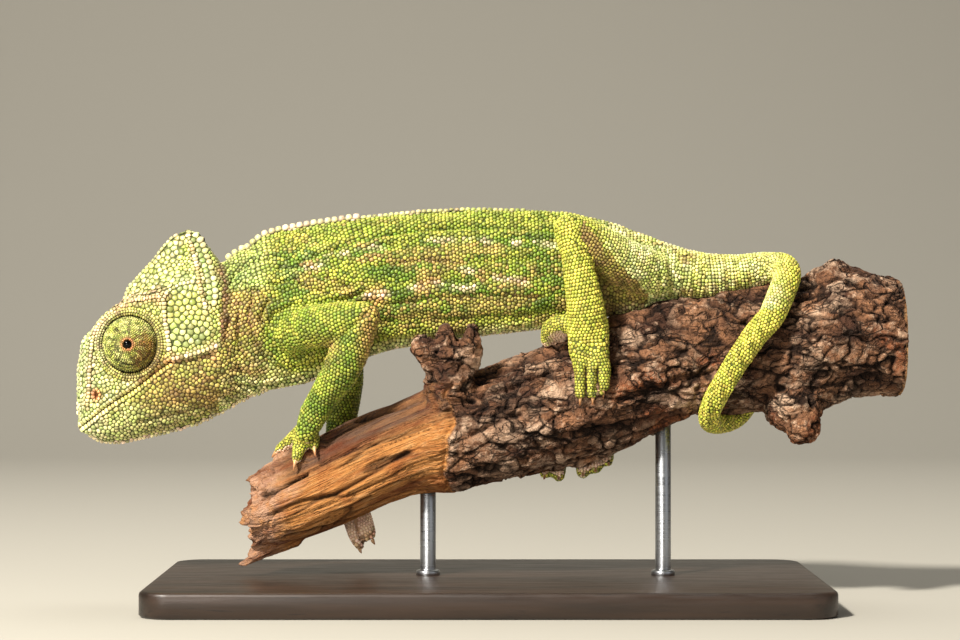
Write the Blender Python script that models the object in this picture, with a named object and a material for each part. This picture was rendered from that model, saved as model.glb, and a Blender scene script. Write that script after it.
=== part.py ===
"""A common chameleon walking along a cut length of dead branch, held by a plain display stand.

Metres, +Z up. The animal looks towards -X, its left side faces -Y, and the origin is the centre of
the underside of the stand's base. Sizes below are in millimetres until a mesh is made.
"""
import math

import bmesh
import bpy
import numpy as np
from mathutils import Matrix, Vector

MM = 0.001

# Driving sizes, in millimetres.
GAP = 0.3  # between two pieces that meet
BODY_VOXEL = 0.5  # grid of the flesh before it is thinned out
BODY_FACES = 3900  # triangles of the flesh before it is parted
HEAD_PITCH = math.radians(36)  # the snout points down by this much
MOUTH_CORNER = Vector((-59.4, 0, 49.0))
JAW_LENGTH = 25.5  # from the corner of the mouth to the lips
EYE_FORWARD, EYE_UP, EYE_SIDE = 7.9, 8.5, 4.7  # turret centre from the mouth corner
TURRET_RADIUS = 5.6
TURRET_ROOT = 2.4  # the turret's flat inner face, from the middle of the head
PUPIL_RADIUS = 1.0
EYEBALL_RADIUS = 1.35
THINNED = 0.55  # share of its triangles that a node of flesh keeps once it is parted
CLAW_LENGTH, CLAW_RADIUS = 2.2, 0.5
SHELL = (0.12, 0.46)  # the cuts of the upper legs lie this far outside the trunk
CLAW_ROOT = 0.7  # how deep a claw starts in its toe
BASE_LENGTH, BASE_WIDTH, BASE_HEIGHT, BASE_CORNER = 132.0, 72.0, 5.0, 6.0
ROD_RADIUS = 1.6
ROD_PLACES = (-12.0, 35.0)  # along the branch
ROD_DEPTH = 3.0  # into the base
ROD_GRIP = 5.0  # into the branch

COLOURS = {  # colour, roughness, metallic
    "skin": ((0.36, 0.46, 0.08), 0.55, 0.0),
    "turret": ((0.42, 0.45, 0.1), 0.5, 0.0),
    "eyeball": ((0.01, 0.01, 0.015), 0.1, 0.0),
    "bark": ((0.19, 0.12, 0.08), 0.9, 0.0),
    "stand": ((0.03, 0.028, 0.026), 0.4, 0.0),
    "steel": ((0.5, 0.5, 0.5), 0.3, 1.0),
}

# The trunk with the neck and the root of the tail: place along X, top, bottom, half width.
TRUNK = (
    (-58.0, 60.0, 37.2, 5.6),
    (-50.0, 68.6, 39.3, 6.4),
    (-44.4, 73.2, 41.6, 6.8),
    (-36.4, 75.0, 43.2, 7.1),
    (-28.4, 76.2, 46.0, 7.0),
    (-20.4, 77.2, 49.6, 6.9),
    (-4.4, 78.2, 52.2, 6.8),
    (11.6, 78.0, 54.0, 6.4),
    (19.6, 76.8, 55.4, 6.0),
    (25.6, 75.2, 57.2, 5.6),
    (31.6, 73.0, 59.0, 5.0),
    (37.6, 70.8, 60.0, 4.5),
    (43.6, 69.5, 60.2, 4.1),
    (49.6, 69.2, 61.4, 3.5),
    (55.6, 69.8, 62.8, 3.2),
)

# The head in its own frame: forward from the mouth corner, underside, top, half width at the
# cheek, then height and half width of the side crest, and half width of the top crest.
HEAD = (
    (25.7, -2.0, 2.2, 1.7, 1.6, 1.2, 0.9),
    (24.6, -3.8, 4.9, 3.1, 3.9, 2.1, 1.4),
    (22.0, -5.8, 7.7, 4.2, 6.7, 3.0, 1.9),
    (19.0, -7.3, 10.6, 5.0, 9.7, 3.5, 2.2),
    (15.0, -9.0, 14.2, 5.7, 13.3, 4.0, 2.5),
    (11.0, -10.6, 16.2, 6.3, 15.3, 4.5, 2.6),
    (7.0, -12.0, 16.8, 6.9, 15.4, 5.2, 2.4),
    (3.0, -12.8, 17.0, 7.6, 14.3, 6.0, 1.6),
    (-1.0, -13.1, 18.5, 8.1, 12.6, 6.7, 0.9),
    (-5.0, -12.6, 19.5, 8.1, 11.4, 6.8, 0.8),
    (-9.5, -10.0, 19.9, 7.3, 10.2, 6.2, 0.8),
    (-13.0, -4.0, 20.2, 5.9, 9.6, 5.0, 0.8),
    (-15.6, 2.0, 19.2, 4.3, 9.4, 3.6, 0.7),
)

# The branch: place along X, middle height, half height, half depth.
BRANCH = (
    (-46.4, 17.6, 7.6, 7.4),
    (-43.0, 19.0, 9.2, 8.8),
    (-36.4, 21.4, 9.9, 9.4),
    (-28.4, 25.2, 10.6, 9.8),
    (-20.4, 28.8, 10.2, 10.0),
    (-12.4, 32.0, 10.4, 10.2),
    (-8.4, 32.8, 11.9, 11.0),
    (3.6, 36.2, 12.4, 11.6),
    (11.6, 38.6, 12.8, 12.0),
    (19.6, 40.2, 12.8, 12.2),
    (27.6, 42.8, 12.6, 12.0),
    (33.6, 46.2, 12.6, 11.8),
    (41.6, 48.2, 11.6, 11.2),
    (49.6, 49.4, 11.6, 11.0),
    (57.6, 50.2, 12.6, 11.6),
    (64.0, 50.6, 14.2, 12.4),
    (70.0, 53.0, 14.0, 12.2),
    (76.0, 53.2, 12.4, 11.4),
    (82.4, 52.0, 11.8, 10.8),
)

# The tail where it lies on top of the branch: x, y, z and radius.
TAIL_TOP = ((50.0, 0.0, 65.5, 3.5), (55.0, -0.6, 66.4, 3.2), (58.2, -3.4, 66.6, 3.0), (59.0, -7.6, 64.9, 2.9))

# The tail on the branch: place along X, degrees round it, and the tail's radius.
TAIL_WRAP = (
    (57.4, 44, 2.85),
    (55.4, 27, 2.75),
    (52.6, 16, 2.65),
    (50.2, 4, 2.55),
    (47.6, -11, 2.45),
    (45.2, -28, 2.4),
    (43.6, -48, 2.3),
    (44.0, -68, 2.2),
    (47.0, -88, 2.1),
    (50.4, -108, 2.0),
    (53.4, -130, 1.85),
    (56.4, -154, 1.7),
)
CURL_CENTRE = (54.6, -194)  # place along X, degrees round the branch
CURL_RADIUS = 5.0

# Knots, stubs and splinters of the branch: points of x, y, z and radius.
KNOTS = (
    ((-7.0, -3.6, 38.0, 7.0), (-7.4, -7.0, 45.2, 5.2), (-7.6, -8.4, 48.4, 4.2)),
    ((-9.0, -8.0, 46.2, 3.0), (-11.4, -8.8, 49.2, 2.9), (-12.8, -9.2, 50.6, 2.6)),
    ((-8.0, -8.2, 47.4, 2.8), (-8.2, -9.2, 51.6, 2.5), (-8.3, -9.4, 53.6, 2.1)),
    ((-4.8, -8.0, 47.2, 3.0), (-3.4, -9.4, 51.4, 2.5), (-3.1, -9.6, 53.8, 2.0)),
    ((60.0, -4.0, 41.0, 6.4), (61.2, -7.4, 36.8, 5.2), (61.6, -8.2, 35.2, 4.0)),
    ((66.6, -2.0, 59.8, 7.0), (68.6, -2.4, 63.6, 4.6), (69.4, -2.4, 65.0, 3.0)),
    ((-40.0, 0.0, 13.6, 4.2), (-44.8, -1.0, 9.8, 1.9), (-48.6, -1.6, 7.0, 0.5)),
    ((-42.0, -3.2, 19.6, 5.0), (-46.8, -3.4, 16.6, 2.2), (-49.0, -3.4, 15.6, 0.6)),
    ((-42.0, 2.6, 24.0, 4.0), (-46.4, 3.2, 24.0, 1.7), (-48.4, 3.4, 23.6, 0.5)),
)


def smooth_rows(rows, count):
    """count rows on a smooth curve through the given ones, evenly spaced along its first three
    columns' path."""
    rows = np.array(rows, float)
    ends = np.vstack((2 * rows[0] - rows[1], rows, 2 * rows[-1] - rows[-2]))
    fine = []
    for i in range(1, len(ends) - 2):
        a, b, c, d = ends[i - 1 : i + 3]
        t = np.linspace(0, 1, 16, endpoint=False)[:, None]
        bend = (2 * a - 5 * b + 4 * c - d) * t**2 + (3 * b - a - 3 * c + d) * t**3
        fine.append(b + 0.5 * ((c - a) * t + bend))
    fine = np.vstack((*fine, rows[-1:]))
    walked = np.concatenate(([0], np.cumsum(np.linalg.norm(np.diff(fine[:, :3], axis=0), axis=1))))
    even = np.linspace(0, walked[-1], count)
    return np.column_stack([np.interp(even, walked, column) for column in fine.T])


def row_at(table, place):
    """The row of a table whose first column is that place, between the rows by smooth blending."""
    table = np.array(table, float)
    order = np.argsort(table[:, 0])
    table = table[order]
    fine = smooth_rows(np.column_stack((table[:, 0], np.zeros((len(table), 2)), table[:, 1:])), 240)
    return [np.interp(place, fine[:, 0], column) for column in fine.T[3:]]


def mesh_object(name, verts, faces):
    mesh = bpy.data.meshes.new(name)
    mesh.from_pydata([Vector(v) * MM for v in verts], [], faces)
    obj = bpy.data.objects.new(name, mesh)
    bpy.context.scene.collection.objects.link(obj)
    work = bmesh.new()
    work.from_mesh(mesh)
    bmesh.ops.recalc_face_normals(work, faces=work.faces)
    work.to_mesh(mesh)
    work.free()
    return obj


def loft(name, rings):
    """A closed body through rings of equal length, with flat ends."""
    sides = len(rings[0])
    verts = [p for ring in rings for p in ring]
    faces = [list(range(sides))[::-1], list(range(len(verts) - sides, len(verts)))]
    for i in range(len(rings) - 1):
        for j in range(sides):
            k = (j + 1) % sides
            faces.append((i * sides + j, i * sides + k, (i + 1) * sides + k, (i + 1) * sides + j))
    return mesh_object(name, verts, faces)


def tube(name, stations, rings=14, sides=16, up=(0, 0, 1), round_ends=True):
    """A closed tube through stations of x, y, z, half width and half height. Height lies along up."""
    rows = smooth_rows(stations, rings)
    if round_ends:
        rows = rounded(rows)
    up = Vector(up)
    found = []
    for i, row in enumerate(rows):
        ahead = Vector(rows[min(i + 1, len(rows) - 1)][:3]) - Vector(rows[max(i - 1, 0)][:3])
        side = ahead.cross(up).normalized()
        high = side.cross(ahead).normalized()
        turns = [2 * math.pi * j / sides for j in range(sides)]
        found.append(
            [Vector(row[:3]) + side * (row[3] * math.cos(t)) + high * (row[4] * math.sin(t)) for t in turns]
        )
    return loft(name, found)


def rounded(rows):
    """The rows with a half-round nose added at each end."""
    noses = []
    for end, inner in ((rows[0], rows[1]), (rows[-1], rows[-2])):
        out = end[:3] - inner[:3]
        out /= np.linalg.norm(out)
        radius = min(end[3], end[4])
        nose = []
        for angle in (30, 60, 82):
            ring = end.copy()
            ring[:3] += out * radius * math.sin(math.radians(angle))
            ring[3:5] *= math.cos(math.radians(angle))
            nose.append(ring)
        noses.append(nose)
    return np.vstack((noses[0][::-1], rows, noses[1]))


def rod(name, points, rings=14, up=(0, 0, 1), sides=14):
    """A round tube through points of x, y, z and radius."""
    return tube(name, [(*p[:3], p[3], p[3]) for p in points], rings, sides, up)


def on_branch(x, degrees, lift):
    """A point off the branch's surface: 0 degrees is its near side, 90 its top, 180 its far side."""
    middle, high, deep = row_at(BRANCH, x)
    turn = math.radians(degrees)
    return (x, -(deep + lift) * math.cos(turn), middle + (high + lift) * math.sin(turn))


def head_point(forward, side, up):
    """A point given in the head's own frame, in millimetres from the corner of the mouth."""
    ahead = Vector((-math.cos(HEAD_PITCH), 0, -math.sin(HEAD_PITCH)))
    top = Vector((-math.sin(HEAD_PITCH), 0, math.cos(HEAD_PITCH)))
    return MOUTH_CORNER + ahead * forward + Vector((0, side, 0)) + top * up


def make_trunk(grow=0.0):
    """The trunk with the neck and the root of the tail. grow swells it, for the cuts of the legs."""
    rings = []
    sides = 28
    rows = smooth_rows([(x, 0, 0, top, low, wide) for x, top, low, wide in TRUNK], 64)
    for x, _, _, top, low, wide in rows:
        middle, high = (top + low) / 2, (top - low) / 2 + grow
        ring = []
        for j in range(sides):
            t = 2 * math.pi * j / sides
            rise = math.sin(t)
            keel = 1 - 0.26 * max(rise, 0) ** 2 - 0.3 * max(-rise, 0) ** 3  # the back and belly narrow
            ring.append((x, (wide * keel + grow) * math.cos(t), middle + high * rise))
        rings.append(ring)
    return loft("trunk_form", rings)


def make_head():
    rings = []
    steps = 15
    rows = smooth_rows([(u, 0, 0, *rest) for u, *rest in HEAD], 56)
    for u, _, _, low, top, cheek, crest_up, crest_wide, top_wide in rows:
        knots = (
            (low, 0, 0, 0.5),
            (low * 0.86, 0, 0, cheek * 0.42),
            (low * 0.5, 0, 0, cheek * 0.82),
            (min(0.0, low * 0.1), 0, 0, cheek * 0.98),
            ((crest_up + low * 0.2) * 0.45, 0, 0, cheek),
            (crest_up, 0, 0, crest_wide),
            ((top + crest_up) / 2, 0, 0, (crest_wide + top_wide) / 2 - 0.15),
            (top, 0, 0, top_wide),
        )
        half = [(up, wide) for up, _, _, wide in smooth_rows(knots, steps)]
        near = [head_point(u, -wide, up) for up, wide in half]
        far = [head_point(u, wide, up) for up, wide in reversed(half)]
        rings.append(near + far)
    return loft("head_form", rings)


def make_tail():
    """The tail from the top of the branch: down its near side, under it, and curled on the far side."""
    path = list(TAIL_TOP)
    for x, degrees, radius in TAIL_WRAP:
        path.append((*on_branch(x, degrees, radius + 0.2), radius))
    for step in range(10):  # the curl closes in as it goes round
        turn = math.radians(-40 + 42 * step)
        reach = CURL_RADIUS * (1 - step / 14)
        x = CURL_CENTRE[0] + reach * math.cos(turn)
        degrees = CURL_CENTRE[1] - math.degrees(reach * math.sin(turn) / 12.6)
        radius = 1.5 - 0.09 * step
        path.append((*on_branch(x, degrees, radius + 0.2), radius))
    return rod("tail_form", path, rings=120, up=(1, 0.3, 0.2), sides=12)


def make_toes(start, paths, radius, claws):
    """A bundle of toes from one palm. Adds each toe's claw to claws."""
    forms = []
    for path in paths:
        points = [(*start, radius * 1.45)]
        points += [(*p, radius * (1.2 if i < len(path) - 1 else 0.95)) for i, p in enumerate(path)]
        forms.append(rod("toe_form", points, rings=12, up=(0.9, 0.1, 0.4), sides=12))
        tip, before = Vector(path[-1]), Vector(path[-2])
        way = (tip - before).normalized()
        claws.append(make_claw(tip + way * (radius * 0.95 - CLAW_ROOT), way))
    return forms


def make_legs():
    """Returns the flesh forms of the legs and feet, and the claws."""
    forms, claws = [], []

    # Near (left) foreleg.
    upper = (
        (-39.6, -4.2, 53.4, 4.2),
        (-33.4, -8.8, 54.8, 4.3),
        (-28.6, -11.0, 55.8, 3.9),
        (-24.4, -12.2, 56.4, 3.5),
    )
    lower = (
        (-24.6, -12.2, 56.2, 3.5),
        (-27.2, -11.2, 49.8, 4.0),
        (-29.2, -10.2, 45.4, 3.7),
        (-32.2, -8.4, 41.2, 3.1),
        (-34.4, -6.8, 37.6, 3.0),
    )
    forms += [rod("arm", upper, 20), rod("arm", lower, 22, (0, 1, 0))]
    palm = (-35.6, -6.0, 35.2)
    outer = (
        [on_branch(-37.2, 60, 1.9), on_branch(-37.8, 46, 1.3)],
        [on_branch(-34.8, 66, 2.0), on_branch(-34.4, 52, 1.3)],
    )
    inner = (
        [on_branch(-39.4, 82, 2.0), on_branch(-41.6, 88, 1.3)],
        [on_branch(-39.2, 96, 2.0), on_branch(-41.0, 106, 1.3)],
        [on_branch(-38.2, 106, 2.0), on_branch(-39.4, 121, 1.3)],
    )
    forms += make_toes(palm, outer, 1.3, claws) + make_toes(palm, inner, 1.2, claws)

    # Far (right) foreleg, which reaches down behind the branch.
    upper = (
        (-39.4, 4.2, 53.2, 4.2),
        (-34.6, 9.0, 52.6, 4.3),
        (-31.4, 11.4, 51.0, 3.9),
        (-28.8, 13.2, 48.6, 3.5),
    )
    lower = (
        (-28.8, 13.2, 48.8, 3.5),
        (-29.4, 14.2, 42.6, 3.9),
        (-30.0, 14.2, 36.0, 3.3),
        (-30.6, 13.6, 30.0, 2.9),
    )
    forms += [rod("arm", upper, 20), rod("arm", lower, 22, (0, 1, 0))]
    palm = (-30.4, 12.6, 25.6)
    outer = (
        [(-29.4, 11.8, 18.8), (-27.0, 9.8, 12.0)],
        [(-27.2, 12.2, 19.4), (-24.6, 10.6, 13.6)],
    )
    inner = (
        [on_branch(-34.0, 167, 2.0), on_branch(-37.2, 162, 1.3)],
        [on_branch(-34.2, 179, 2.0), on_branch(-37.4, 178, 1.3)],
        [on_branch(-33.8, 191, 2.0), on_branch(-36.4, 194, 1.3)],
    )
    forms += make_toes(palm, outer, 1.45, claws) + make_toes(palm, inner, 1.2, claws)

    # Near hind leg: the knee stands up beside the back, and the foot comes down the near side.
    upper = (
        (33.0, -2.4, 64.8, 4.8),
        (26.4, -6.6, 67.6, 4.8),
        (20.4, -9.8, 71.4, 4.2),
        (16.0, -11.6, 73.8, 3.3),
    )
    lower = (
        (15.8, -11.8, 73.8, 3.2),
        (17.0, -12.6, 68.8, 2.9),
        (18.3, -12.8, 62.6, 3.5),
        (19.2, -12.2, 57.4, 3.9),
        (19.6, -11.6, 54.0, 3.6),
    )
    forms += [rod("leg", upper, 20, (0, 1, 0.5)), rod("leg", lower, 22, (1, 0, 0))]
    outer = (
        [on_branch(18.4, 26, 2.2), on_branch(18.0, 5, 1.4)],
        [on_branch(20.4, 25, 2.3), on_branch(20.4, 3, 1.4)],
        [on_branch(22.2, 27, 2.2), on_branch(22.4, 6, 1.4)],
    )
    inner = (
        [(15.0, -9.6, 55.4), (12.4, -7.0, 54.4), on_branch(11.8, 70, 1.4)],
        [(15.8, -8.0, 55.0), (14.4, -5.7, 54.0), on_branch(14.4, 74, 1.3)],
    )
    forms += make_toes((19.8, -11.2, 51.6), outer, 1.45, claws)
    forms += make_toes((19.0, -10.6, 54.4), inner, 1.6, claws)

    # Far hind leg: bent lower, with the foot coming round under the branch.
    upper = (
        (33.0, 2.4, 64.8, 4.8),
        (26.4, 7.6, 65.2, 4.8),
        (20.6, 11.4, 64.8, 4.2),
        (16.4, 14.0, 63.8, 3.3),
    )
    lower = (
        (16.2, 14.0, 63.8, 3.2),
        (16.6, 15.8, 57.6, 2.9),
        (17.4, 16.8, 50.6, 3.5),
        (18.2, 16.6, 44.8, 3.8),
        (18.8, 16.0, 41.6, 3.6),
    )
    forms += [rod("leg", upper, 20, (0, 1, 0.5)), rod("leg", lower, 22, (1, 0, 0))]
    sole = (19.0, 14.8, 38.8)
    outer = (
        [on_branch(19.0, 212, 2.4), on_branch(19.2, 244, 2.2), on_branch(19.0, 268, 1.9)],
        [on_branch(20.8, 210, 2.4), on_branch(21.6, 240, 2.2), on_branch(21.6, 262, 1.9)],
        [on_branch(22.4, 206, 2.2), on_branch(24.0, 232, 2.1), on_branch(24.2, 254, 1.8)],
    )
    inner = (
        [on_branch(16.0, 208, 2.4), on_branch(14.4, 236, 2.1), on_branch(14.2, 262, 1.7)],
        [on_branch(15.4, 198, 2.3), on_branch(12.4, 224, 2.0), on_branch(11.6, 248, 1.7)],
    )
    forms += make_toes(sole, outer, 1.35, claws) + make_toes(sole, inner, 1.45, claws)
    return forms, claws


def join(name, objects):
    """One object that holds the meshes of several."""
    work = bmesh.new()
    for obj in objects:
        work.from_mesh(obj.data)
        bpy.data.objects.remove(obj)
    mesh = bpy.data.meshes.new(name)
    work.to_mesh(mesh)
    work.free()
    obj = bpy.data.objects.new(name, mesh)
    bpy.context.scene.collection.objects.link(obj)
    return obj


def settle(obj):
    """Applies the object's modifiers."""
    bpy.context.view_layer.update()
    graph = bpy.context.evaluated_depsgraph_get()
    mesh = bpy.data.meshes.new_from_object(obj.evaluated_get(graph))
    obj.modifiers.clear()
    obj.data = mesh
    return obj


def boolean(obj, other, operation):
    """Cuts other from obj, or joins it on, and removes other."""
    modifier = obj.modifiers.new(operation, "BOOLEAN")
    modifier.operation = operation
    modifier.object = other
    modifier.solver = "EXACT"
    settle(obj)
    bpy.data.objects.remove(other)
    return obj


def make_flesh(forms):
    """All the flesh forms as one smooth closed mesh of about BODY_FACES triangles."""
    flesh = join("flesh", forms)
    remesh = flesh.modifiers.new("Remesh", "REMESH")
    remesh.mode = "VOXEL"
    remesh.voxel_size = BODY_VOXEL * MM
    settle(flesh)
    relax = flesh.modifiers.new("Smooth", "SMOOTH")
    relax.factor = 0.5
    relax.iterations = 5
    settle(flesh)
    thin = flesh.modifiers.new("Decimate", "DECIMATE")
    thin.ratio = BODY_FACES / (2 * len(flesh.data.polygons))
    return settle(flesh)


def slab(name, middle, normal, across, reach, thick=GAP):
    """A thin rectangular cutter: reach is its half size along across and at right angles to it."""
    normal = Vector(normal).normalized()
    across = Vector(across)
    across = (across - normal * across.dot(normal)).normalized()
    other = normal.cross(across)
    verts = []
    for a in (-thick / 2, thick / 2):
        for b, c in ((-1, -1), (1, -1), (1, 1), (-1, 1)):
            verts.append(Vector(middle) + normal * a + across * (b * reach[0]) + other * (c * reach[1]))
    faces = [(3, 2, 1, 0), (4, 5, 6, 7), (0, 1, 5, 4), (1, 2, 6, 5), (2, 3, 7, 6), (3, 0, 4, 7)]
    return mesh_object(name, verts, faces)


def head_slab(name, start, end):
    """A cut across the head between two points of its own frame, given as (forward, up)."""
    a, b = head_point(start[0], 0, start[1]), head_point(end[0], 0, end[1])
    way = (b - a).normalized()
    return slab(name, (a + b) / 2, way.cross(Vector((0, 1, 0))), way, ((b - a).length / 2, 11))


def ball(name, centre, radius, rings=12, sides=20):
    """A sphere whose poles lie along Y."""
    work = bmesh.new()
    bmesh.ops.create_uvsphere(work, u_segments=sides, v_segments=rings, radius=radius * MM)
    turn = Matrix.Translation(Vector(centre) * MM) @ Matrix.Rotation(math.pi / 2, 4, "X")
    bmesh.ops.transform(work, matrix=turn, verts=work.verts)
    mesh = bpy.data.meshes.new(name)
    work.to_mesh(mesh)
    work.free()
    obj = bpy.data.objects.new(name, mesh)
    bpy.context.scene.collection.objects.link(obj)
    return obj


def drum(name, start, end, radius, sides=20):
    """A cylinder between two points."""
    start, end = Vector(start), Vector(end)
    way = (end - start).normalized()
    side = way.orthogonal().normalized()
    other = way.cross(side)
    turns = [2 * math.pi * j / sides for j in range(sides)]
    ring = [side * (radius * math.cos(t)) + other * (radius * math.sin(t)) for t in turns]
    return loft(name, [[start + p for p in ring], [end + p for p in ring]])


def make_turret(side, grow=0.0):
    """The dome of lids round an eye, flat on its inner side. side is -1 for the left eye."""
    centre = head_point(EYE_FORWARD, side * EYE_SIDE, EYE_UP)
    dome = ball("turret_form", centre, TURRET_RADIUS + grow, rings=11, sides=18)
    root = side * (TURRET_ROOT - grow)
    keep = slab("keep", (centre.x, root + side * 10, centre.z), (0, 1, 0), (1, 0, 0), (12, 12), 20)
    boolean(dome, keep, "INTERSECT")
    return dome, centre


def make_eyes(flesh):
    """Cuts the two sockets and makes the turrets and the parts of the eyeballs that show."""
    made = []
    for name, side in (("left", -1), ("right", 1)):
        socket, _ = make_turret(side, GAP)
        boolean(flesh, socket, "DIFFERENCE")
        turret, centre = make_turret(side)
        front = centre.y + side * TURRET_RADIUS
        seat = front - side * 1.1
        hollow = EYEBALL_RADIUS + GAP
        mouth, floor = front + side, seat - side * hollow
        hole = drum("hole", (centre.x, mouth, centre.z), (centre.x, floor, centre.z), hollow)
        boolean(turret, hole, "DIFFERENCE")
        turret.name = f"eye_turret_{name}"
        eyeball = ball(f"eyeball_{name}", (centre.x, seat, centre.z), EYEBALL_RADIUS, 7, 10)
        made += [(turret, "turret"), (eyeball, "eyeball")]
    return made


def make_claw(root, way):
    """A short claw that bends towards the branch."""
    middle, _, _ = row_at(BRANCH, max(-45.0, min(root.x, 79.0)))
    inward = Vector((0, -root.y, middle - root.z))
    inward = (inward - way * inward.dot(way)).normalized()
    side = way.cross(inward).normalized()
    turns = [2 * math.pi * j / 5 for j in range(5)]
    rings = []
    for step in (0.0, 0.5, 0.8, 1.0):
        centre = root + way * (CLAW_LENGTH * step) + inward * (0.2 * CLAW_LENGTH * step**2)
        radius = CLAW_RADIUS * (1 - 0.75 * step)
        spokes = [side * math.cos(t) + inward * math.sin(t) for t in turns]
        rings.append([centre + spoke * radius for spoke in spokes])
    return loft("claw", rings)


def make_branch(grow=0.0):
    """The dead branch with its knots. grow swells it, for cutting what grips it."""
    sides = 20
    rows = smooth_rows([(x, 0, 0, mid, high, deep) for x, mid, high, deep in BRANCH], 30)
    rings = []
    for x, _, _, middle, high, deep in rows:
        ring = []
        for j in range(sides):
            t = 2 * math.pi * j / sides
            lump = 1 + 0.024 * math.sin(3 * t + 0.11 * x) + 0.02 * math.sin(5 * t - 0.17 * x)
            ring.append(
                (x, -(deep * lump + grow) * math.cos(t), middle + (high * lump + grow) * math.sin(t))
            )
        rings.append(ring)
    body = loft("branch_form", rings)
    for points in KNOTS:
        grown = [(x, y, z, radius + grow) for x, y, z, radius in points]
        boolean(body, rod("knot", grown, rings=5, up=(1, 0, 0), sides=9), "UNION")
    return body


def material(name):
    colour, rough, metal = COLOURS[name]
    made = bpy.data.materials.get(name) or bpy.data.materials.new(name)
    made.use_nodes = True
    shader = made.node_tree.nodes["Principled BSDF"]
    shader.inputs["Base Color"].default_value = (*colour, 1)
    shader.inputs["Roughness"].default_value = rough
    shader.inputs["Metallic"].default_value = metal
    return made


def finish(obj, look):
    obj.data.materials.clear()
    obj.data.materials.append(material(look))
    obj.data.shade_smooth()
    obj.data.set_sharp_from_angle(angle=math.radians(40))
    return obj


def box(name, low, high):
    """A box between two corners."""
    middle = (Vector(low) + Vector(high)) / 2
    half = (Vector(high) - Vector(low)) / 2
    return slab(name, middle, (0, 0, 1), (1, 0, 0), (half.x, half.y), 2 * half.z)


def flank_cut(name, low, high):
    """A thin shell just outside the trunk, inside a box, where a leg leaves it."""
    shell = make_trunk(SHELL[1])
    boolean(shell, make_trunk(SHELL[0]), "DIFFERENCE")
    boolean(shell, box("reach", low, high), "INTERSECT")
    shell.name = name
    return shell


def part_cuts():
    """The thin cutters that divide the flesh at its joints."""
    return [
        head_slab("mouth", (-0.2, 0), (JAW_LENGTH + 4, 0)),
        head_slab("jaw_back", (0, 0.2), (0, -17)),
        head_slab("nape", (0.2, 0), (-20, 7.5)),
        slab("neck_back", (-46.4, 0, 57.0), (1, 0, 0.24), (0, 1, 0), (9, 22)),
        slab("waist", (4.0, 0, 66.0), (1, 0, 0), (0, 1, 0), (8.5, 16)),
        slab("hips", (24.0, 0, 66.0), (1, 0, 0), (0, 1, 0), (5.9, 13)),
        slab("tail_root", (38.6, 0, 65.4), (1, 0, 0), (0, 1, 0), (7, 8)),
        slab("tail_bend", (54.6, -0.4, 66.4), (1, -0.1, 0.1), (0, 1, 0), (5, 5)),
        slab("tail_drop", (57.6, -10.6, 61.6), (0.3, 0.55, 0.8), (1, 0, 0), (5, 4.4)),
        slab("tail_curl", on_branch(44.6, -33, 2.4), (0.5, -0.35, 0.8), (1, 0, 0.2), (4.4, 4.0)),
        slab("tail_tip", on_branch(53.6, -131, 2.0), (0.42, 0.62, 0.66), (1, 0, -0.6), (3.6, 3.6)),
        flank_cut("left_shoulder", (-46, -16, 46), (-18, 0, 64)),
        flank_cut("right_shoulder", (-46, 0, 46), (-18, 18, 64)),
        flank_cut("left_hip", (13, -16, 58), (37.5, 0, 75)),
        flank_cut("right_hip", (13, 0, 58), (37.5, 18, 75)),
        slab("left_elbow", (-26.2, -12.2, 54.4), (-0.58, 0, 0.81), (0, 1, 0), (4.8, 7.4)),
        slab("right_elbow", (-29.0, 13.5, 45.6), (0.1, 0, 1), (1, 0, 0), (6, 5)),
        slab("left_knee", (15.4, -10.8, 73.0), (0.79, 0, 0.61), (0, 1, 0), (6.2, 4.4)),
        slab("left_knee_fold", (19.3, -11.6, 67.95), (0.79, 0, 0.61), (0, 1, 0), (5.4, 3.2)),
        slab("right_knee", (16.7, 14.6, 63.3), (0.66, 0, 0.75), (0, 1, 0), (6.0, 7.0)),
        slab("left_wrist", (-34.0, -7.1, 38.6), (0.6, -0.4, 1), (0, 1, 0), (5, 5)),
        slab("right_wrist", (-30.6, 13.4, 29.4), (0, 0.1, 1), (0, 1, 0), (5, 5)),
        slab("left_ankle", (18.9, -12.6, 59.7), (-0.15, -0.1, 1), (0, 1, 0), (5, 5.5)),
        slab("right_ankle", (18.4, 16.4, 43.4), (-0.1, 0, 1), (0, 1, 0), (5, 5.5)),
        slab("left_palm", (-37.2, -4.6, 33.8), (0.8, -0.6, 0.1), (0, 0, 1), (7.2, 5.2)),
        slab("right_palm", (-31.5, 12.4, 23.4), (1, 0, 0), (0, 1, 0), (5.2, 6.1)),
        slab("left_sole", (16.2, -9.7, 54.0), (1, 0, 0), (0, 1, 0), (5.3, 3.8)),
        slab("left_sole_top", (14.6, -9.7, 57.7), (0, 0, 1), (0, 1, 0), (5.3, 1.7)),
        slab("right_sole", (17.4, 11.7, 35.0), (1, 0, 0.03), (0, 1, 0), (8.4, 9.4)),
    ]


def thinned(obj):
    """Thins a parted node out, unless that would open its surface."""
    full = obj.data
    thin = obj.modifiers.new("Decimate", "DECIMATE")
    thin.ratio = THINNED
    settle(obj)
    work = bmesh.new()
    work.from_mesh(obj.data)
    if not all(edge.is_manifold for edge in work.edges):
        obj.data = full
    work.free()
    return obj


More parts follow.
